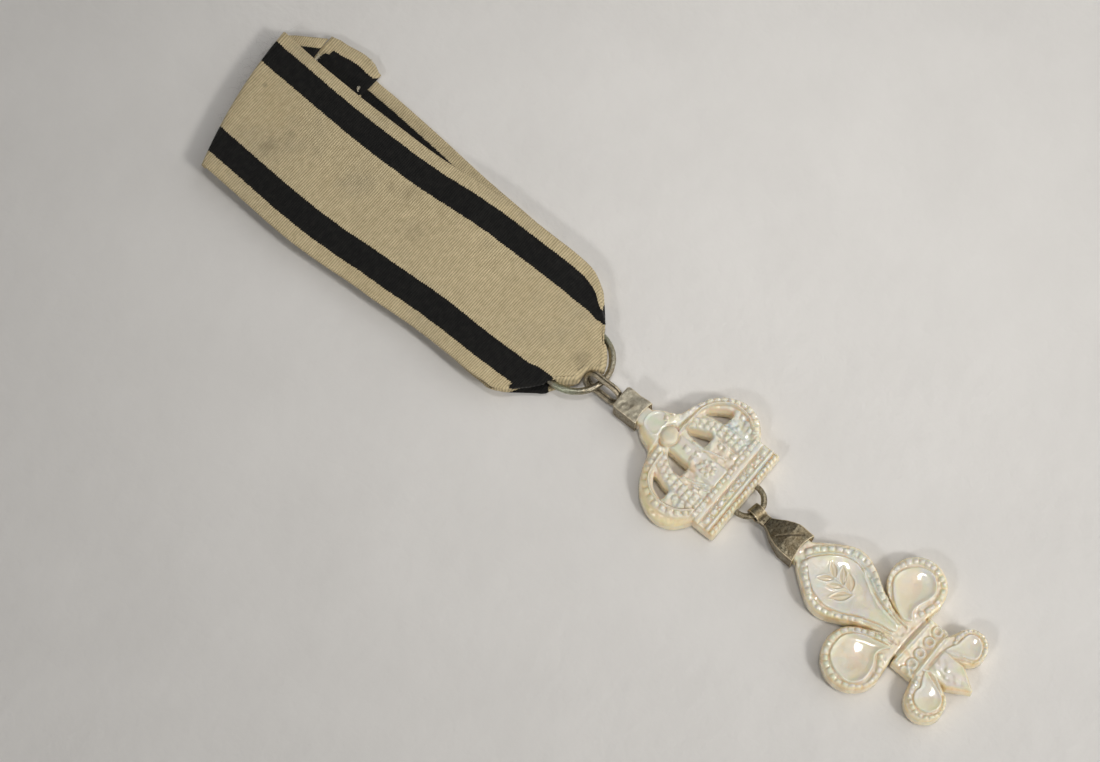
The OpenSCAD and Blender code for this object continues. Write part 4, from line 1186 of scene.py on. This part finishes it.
def cloth_material():
    """Ribbed silk, cream with two black stripes whose edges step from rib to rib, with faint stains."""
    f = Finish("ribbed_silk")
    across = f.kept("across")
    rib_number = f.math("DIVIDE", f.kept("along"), RIB)
    phase = f.math("FRACT", rib_number)
    rib = f.math("MULTIPLY_ADD", f.math("SINE", f.times(phase, 2 * math.pi)), 0.5, 0.5)
    number = f.math("FLOOR", rib_number)
    jitter = f.node("TexWhiteNoise", {"W": number}, noise_dimensions="1D").outputs["Value"]
    tooth = f.math("ABSOLUTE", f.math("SUBTRACT", phase, 0.5))
    edge = f.math("ADD", f.times(tooth, 0.34), f.times(jitter, 0.12))
    black = 0.0
    for low, high in STRIPES:
        off = f.math("ABSOLUTE", f.math("SUBTRACT", across, (low + high) / 2))
        inside = f.math("SUBTRACT", (high - low) / 2 + 0.12, f.math("ADD", off, edge))
        black = f.math("MAXIMUM", black, f.step(f.math("MULTIPLY_ADD", inside, 8.0, 0.5), 0.0, 1.0))
    mottled = f.noise(900, 4.0)
    cream = f.ramp(mottled, (0.25, (0.53, 0.435, 0.26)), (0.75, (0.70, 0.585, 0.365)))
    # Each rib darker in its groove and lighter on its crest: painted shade and sheen of the ribs
    cream = f.mix(0.85, cream, f.ramp(rib, (0.0, 0.62), (0.5, 1.0), (1.0, 1.08)), "MULTIPLY")
    cream = f.over(
        cream,
        (f.step(f.noise(85, 4.0, 0.6), 0.52, 0.7), 0.22, (0.30, 0.27, 0.20)),
        (f.step(f.noise(60, 2.0, 0.4, 0.5), 0.55, 0.75), 0.18, (0.55, 0.42, 0.22)))
    for x, y, size, share in STAINS:
        spot = tuple(metres([x, y, FRONT_Z]))
        away = f.node("VectorMath", {0: f.place(), 1: spot}, operation="DISTANCE").outputs["Value"]
        ragged = f.math("MULTIPLY_ADD", mottled, 0.8 * size * MM, away)
        blot = f.ramp(f.math("DIVIDE", ragged, 2.4 * size * MM), (0.15, 1.0), (0.8, 0.0))
        cream = f.over(cream, (blot, share, (0.17, 0.14, 0.09)))
    ink = f.mix(f.step(mottled, 0.4, 0.8), (0.0055, 0.0055, 0.0052), (0.014, 0.0135, 0.012))
    ink = f.mix(f.ramp(f.noise(4200, 2.0), (0.66, 0.0), (0.8, 0.5)), ink, (0.06, 0.055, 0.05))
    relief = f.math("MULTIPLY_ADD", f.math("SINE", f.times(across, 2 * math.pi / WARP)), 0.13, rib)
    return f.shade({
        "Base Color": f.mix(black, cream, ink),
        "Normal": f.bump(relief, 0.00007, f.bump(mottled, 0.00004)),
        "Roughness": 0.72, "Specular IOR Level": 0.18, "Sheen Weight": 0.08, "Sheen Roughness": 0.45,
    })


class Threads:
    """Loose threads: thin curling tubes, gathered into one piece."""

    RINGS = 8
    SIDES = 5
    LOWEST = 0.12

    def __init__(self, seed):
        self.rng = np.random.default_rng(seed)
        self.points = []
        self.faces = []

    def add(self, start, direction, length, radius, curl):
        heading = np.array(direction, float)
        heading /= np.linalg.norm(heading)
        path = [np.array(start, float)]
        last = self.RINGS - 1
        for _ in range(last):
            heading = heading + self.rng.normal(0, curl, 3)
            heading /= np.linalg.norm(heading)
            path.append(path[-1] + heading * length / last)
            path[-1][2] = max(path[-1][2], self.LOWEST)
        first = len(self.points) + np.arange(self.SIDES)
        for i, q in enumerate(path):
            ahead = path[min(i + 1, last)] - path[max(i - 1, 0)]
            ahead /= np.linalg.norm(ahead)
            one = np.cross(ahead, [0, 0, 1])
            one /= max(np.linalg.norm(one), 1e-6)
            two = np.cross(ahead, one)
            r = radius * (1 - 0.08 * i)
            for k in range(self.SIDES):
                a = 2 * math.pi * k / self.SIDES
                self.points.append(q + r * (math.cos(a) * one + math.sin(a) * two))
        for i in range(last):
            ring = first + i * self.SIDES
            self.faces += between(ring + self.SIDES, ring)
        self.faces.append(first[::-1].tolist())
        self.faces.append((first + last * self.SIDES).tolist())

    def finish(self, name, dark, pale):
        piece = link(name, np.array(self.points), self.faces)
        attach(piece, "root")
        f = Finish(name)
        tone = f.ramp(f.noise(1500), (0.3, dark), (0.7, pale))
        piece.data.materials.append(f.shade({"Base Color": tone, "Roughness": 0.8}))


def make_frays():
    """Threads where the flap was cut and at the hem's stitches."""
    threads = Threads(31)
    rng = threads.rng
    for _ in range(40):
        t = rng.uniform(0, 1)
        heading = [rng.normal(-0.2, 0.7), -1.0, 0.3]
        threads.add([18.9 + 1.3 * t, 171.2 + 0.25 * t, 2.35], heading, rng.uniform(0.3, 0.7), 0.065, 0.35)
    for _ in range(34):
        t = rng.uniform(0, 1)
        heading = [rng.normal(0, 0.8), rng.normal(-0.6, 0.5), 0.4]
        threads.add([19.2 + 0.9 * t, 160.9 + 0.3 * t, 1.6], heading, rng.uniform(0.3, 0.6), 0.07, 0.5)
    for _ in range(14):
        t = rng.uniform(0, 1)
        heading = [1.0, rng.normal(-0.3, 0.5), 0.2]
        threads.add([25.0 + 0.8 * t, 162.0 + 1.2 * t, 1.7], heading, rng.uniform(0.3, 0.7), 0.05, 0.5)
    threads.finish("ribbon_frays", (0.62, 0.56, 0.42), (0.86, 0.82, 0.70))


def make_fuzz_and_painted_shade():
    """A faint fuzz of fine hairs along the folded top, thickest at its upper corner; the hairs are dark grey
    so that they also paint shade on the floor beyond the fold.
    """
    threads = Threads(37)
    rng = threads.rng
    for _ in range(240):
        t = rng.uniform(0, 1) ** 0.6
        heading = [rng.normal(-0.5, 0.7), 1.0, rng.normal(-0.6, 0.3)]
        start = [30.3 * t - 11.6, 172.5 + 6.4 * t + TOP_FOLD[4] * 4 * t * (1 - t), rng.uniform(2.0, 3.6)]
        threads.add(start, heading, rng.uniform(1.5, 8.5) * t, 0.013, 0.5)
    # Dark grey hairs: partly loose fuzz, partly painted shade beyond the folded top
    threads.finish("ribbon_fuzz_and_painted_shade", (0.38, 0.37, 0.36), (0.54, 0.53, 0.50))


# Metal pieces: the frame's own solids, worn soft and dented

WEAR_ROUNDS = 3
WEAR_FULL = 3


def worn(name, cad, voxel, relax, shape):
    """A finely meshed copy of a CAD piece, its edges worn round, then shaped by a function."""
    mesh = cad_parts[cad].data.copy()
    mesh.materials.clear()
    co = np.zeros(len(mesh.vertices) * 3)
    mesh.vertices.foreach_get("co", co)
    mesh.vertices.foreach_set("co", co / MM)
    work = bmesh.new()
    work.from_mesh(mesh)
    bmesh.ops.remove_doubles(work, verts=work.verts, dist=1e-4)
    work.to_mesh(mesh)
    work.free()
    piece = bpy.data.objects.new(name, mesh)
    bpy.context.scene.collection.objects.link(piece)
    remesh = piece.modifiers.new("fine", "REMESH")
    remesh.mode = "VOXEL"
    remesh.voxel_size = voxel
    soften = piece.modifiers.new("soft", "SMOOTH")
    soften.iterations = relax
    soften.factor = 0.5
    apply_modifiers(piece)
    mesh = piece.data
    n = len(mesh.vertices)
    co, normal = np.zeros(n * 3), np.zeros(n * 3)
    mesh.vertices.foreach_get("co", co)
    mesh.vertex_normals.foreach_get("vector", normal)
    normal = normal.reshape(-1, 3)
    p = co.reshape(-1, 3) + MIDDLE
    # Each shape gives a shift and a mark: tarnish or a scratch, but on the cap a painted lit top
    shift, marks = shape(p, normal)
    p = p + normal * shift[:, None]
    p[:, 2] = np.maximum(p[:, 2], 0)
    mesh.vertices.foreach_set("co", metres(p).ravel())
    mesh.shade_smooth()
    mesh.update()
    edges = np.zeros(len(mesh.edges) * 2, int)
    mesh.edges.foreach_get("vertices", edges)
    a, b = edges.reshape(-1, 2).T
    reach = p[b] - p[a]
    bend = np.einsum("ij,ij->i", normal[b] - normal[a], reach)
    bend /= np.maximum(np.linalg.norm(reach, axis=1) ** 2, 1e-9)
    neighbours = np.maximum(np.bincount(a, minlength=n) + np.bincount(b, minlength=n), 1)
    wear = (np.bincount(a, bend, n) + np.bincount(b, bend, n)) / neighbours
    for _ in range(WEAR_ROUNDS):
        wear = 0.5 * wear + 0.5 * (np.bincount(a, wear[b], n) + np.bincount(b, wear[a], n)) / neighbours
    store(piece, "wear", np.clip(wear / WEAR_FULL, -1, 1))
    store(piece, "mark", marks)
    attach(piece, "root")
    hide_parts(cad)
    return piece


def plain_wear(p, normal):
    return 0.018 * waves(p, 1.4, 41) + 0.008 * waves(p, 0.5, 42), np.zeros(len(p))


def ring_shape(p, normal):
    """Slightly uneven wire; the mark is the green tarnish where it meets the cloth."""
    angle = np.arctan2(p[:, 1] - 93.7, p[:, 0] - 3.6)
    green = hump((angle - 0.05) / 0.55) + 0.8 * hump((angle + 2.9) / 0.45)
    return 0.03 * waves(p, 3.5, 43) + 0.008 * waves(p, 0.6, 44), np.clip(green, 0, 1)


def crown_cap_shape(p, normal):
    """Dents and file marks on the cap; the mark is its upward-facing flat top, painted lighter than its
    darker sides as painted light and shade.
    """
    on_cap = smooth((83.0 - p[:, 1]) / 0.6)
    dents = 0.04 * waves(p, 2.4, 45) + 0.015 * waves(p, 0.7, 46)
    # The flat, upward-facing top of the cap is marked to be painted lighter: painted light
    return dents * on_cap + 0.01 * waves(p, 1.0, 47), on_cap * smooth((normal[:, 2] - 0.6) / 0.3)


def lily_cap_shape(p, normal):
    """The bell is dented and has one long scratch; the mark is the scratch."""
    bell = smooth((47.5 - p[:, 1]) / 0.8)
    path = np.array([(-0.3, 44.2), (1.2, 42.6), (3.0, 40.4)])
    scratch = hump(line_distance(p[:, :2], path) / 0.16) * smooth((normal[:, 2] - 0.2) / 0.3) * bell
    ridge = 0.10 * hump((p[:, 0] + 1.0) / 0.5) * bell * smooth((p[:, 2] - 3) / 1)
    return 0.04 * waves(p, 2.2, 48) * bell + 0.012 * waves(p, 0.7, 49) - 0.07 * scratch + ridge, scratch


def metal_material(name, dark, light, edge, tint, tint_share, rough, mark_and_lit_top_colour, mark_and_lit_top_share):
    """Tarnished silver: dark patches, bright worn edges, fine scratches and a tint of green or brown."""
    f = Finish(name)
    patches = f.noise(2300, 6.0, 0.68, 0.4)
    wear = f.kept("wear")
    stretch = f.node(
        "Mapping", {"Vector": f.place(), "Rotation": (0.2, 0.4, 0.7), "Scale": (1.0, 9.0, 9.0)}).outputs[0]
    lines = f.noise(900, 3.0, 0.6, vector=stretch)
    return f.shade({
        "Base Color": f.over(
            f.ramp(patches, (0.3, dark), (0.72, light)),
            (f.step(f.noise(6200), 0.52, 0.68), 0.6, tuple(0.3 * c for c in dark)),
            (f.step(f.noise(480), 0.42, 0.7), tint_share, tint),
            # The mark is green tarnish on the ring and a scratch on the bell, but on the crown's cap it is
            # painted light: its flat top lighter than its sides
            (f.kept("mark"), mark_and_lit_top_share, mark_and_lit_top_colour),
            (f.step(f.math("MULTIPLY_ADD", patches, 0.35, wear), 0.5, 0.85), 1.0, edge),
            (f.step(f.times(wear, -1.0), 0.1, 0.6), 0.85, (0.035, 0.024, 0.014))),
        "Roughness": f.ramp(patches, (0.25, rough + 0.2), (0.75, rough - 0.06)),
        "Normal": f.bump(lines, 0.00003, f.bump(patches, 0.00005)),
        "Metallic": 0.92,
    })


make_camera()
make_light()
make_floor()

pearl = shell_material()
crown = carved(
    "crown_shell", crown_sdf, crown_height, crown_flare, CROWN_LEAN, (-12, 52.8), (17, 81.6), 0.102)
lily = carved(
    "lily_shell", lily_sdf, lily_height, lily_flare, LILY_LEAN, (-17, -0.4), (15, 43.4), 0.1225)
for piece, cad in ((crown, "crown"), (lily, "lily")):
    piece.data.materials.append(pearl)
    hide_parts(cad)

ribbon = make_ribbon()
ribbon.data.materials.append(cloth_material())
make_frays()
make_fuzz_and_painted_shade()

old_silver = metal_material(
    "old_silver", (0.20, 0.17, 0.115), (0.60, 0.56, 0.44), (0.78, 0.73, 0.60), (0.26, 0.17, 0.08), 0.55, 0.28,
    (0.34, 0.44, 0.32), 0.5)
dark_silver = metal_material(
    "dark_silver", (0.06, 0.05, 0.03), (0.50, 0.44, 0.31), (0.64, 0.54, 0.37), (0.22, 0.15, 0.07), 0.5, 0.36,
    (0.10, 0.08, 0.055), 0.6)
# The cap's mark colour paints its flat top lighter than its sides: painted light
cap_silver = metal_material(
    "cap_silver", (0.11, 0.09, 0.06), (0.53, 0.48, 0.36), (0.66, 0.58, 0.43), (0.28, 0.19, 0.09), 0.5, 0.38,
    (0.50, 0.47, 0.38), 0.5)
for name, cad, voxel, relax, shape, finish, slot in (
    ("ring_wire", "ring", 0.09, 2, ring_shape, old_silver, "ring_silver"),
    ("crown_ferrule", "crown_cap", 0.07, 4, crown_cap_shape, cap_silver, "tarnished_metal"),
    ("crown_wire", "crown_loop", 0.08, 2, plain_wear, dark_silver, "tarnished_metal"),
    ("lily_ferrule", "lily_cap", 0.075, 4, lily_cap_shape, dark_silver, "tarnished_metal"),
):
    piece = worn(name, cad, voxel, relax, shape)
    piece.data.materials.append(finish)
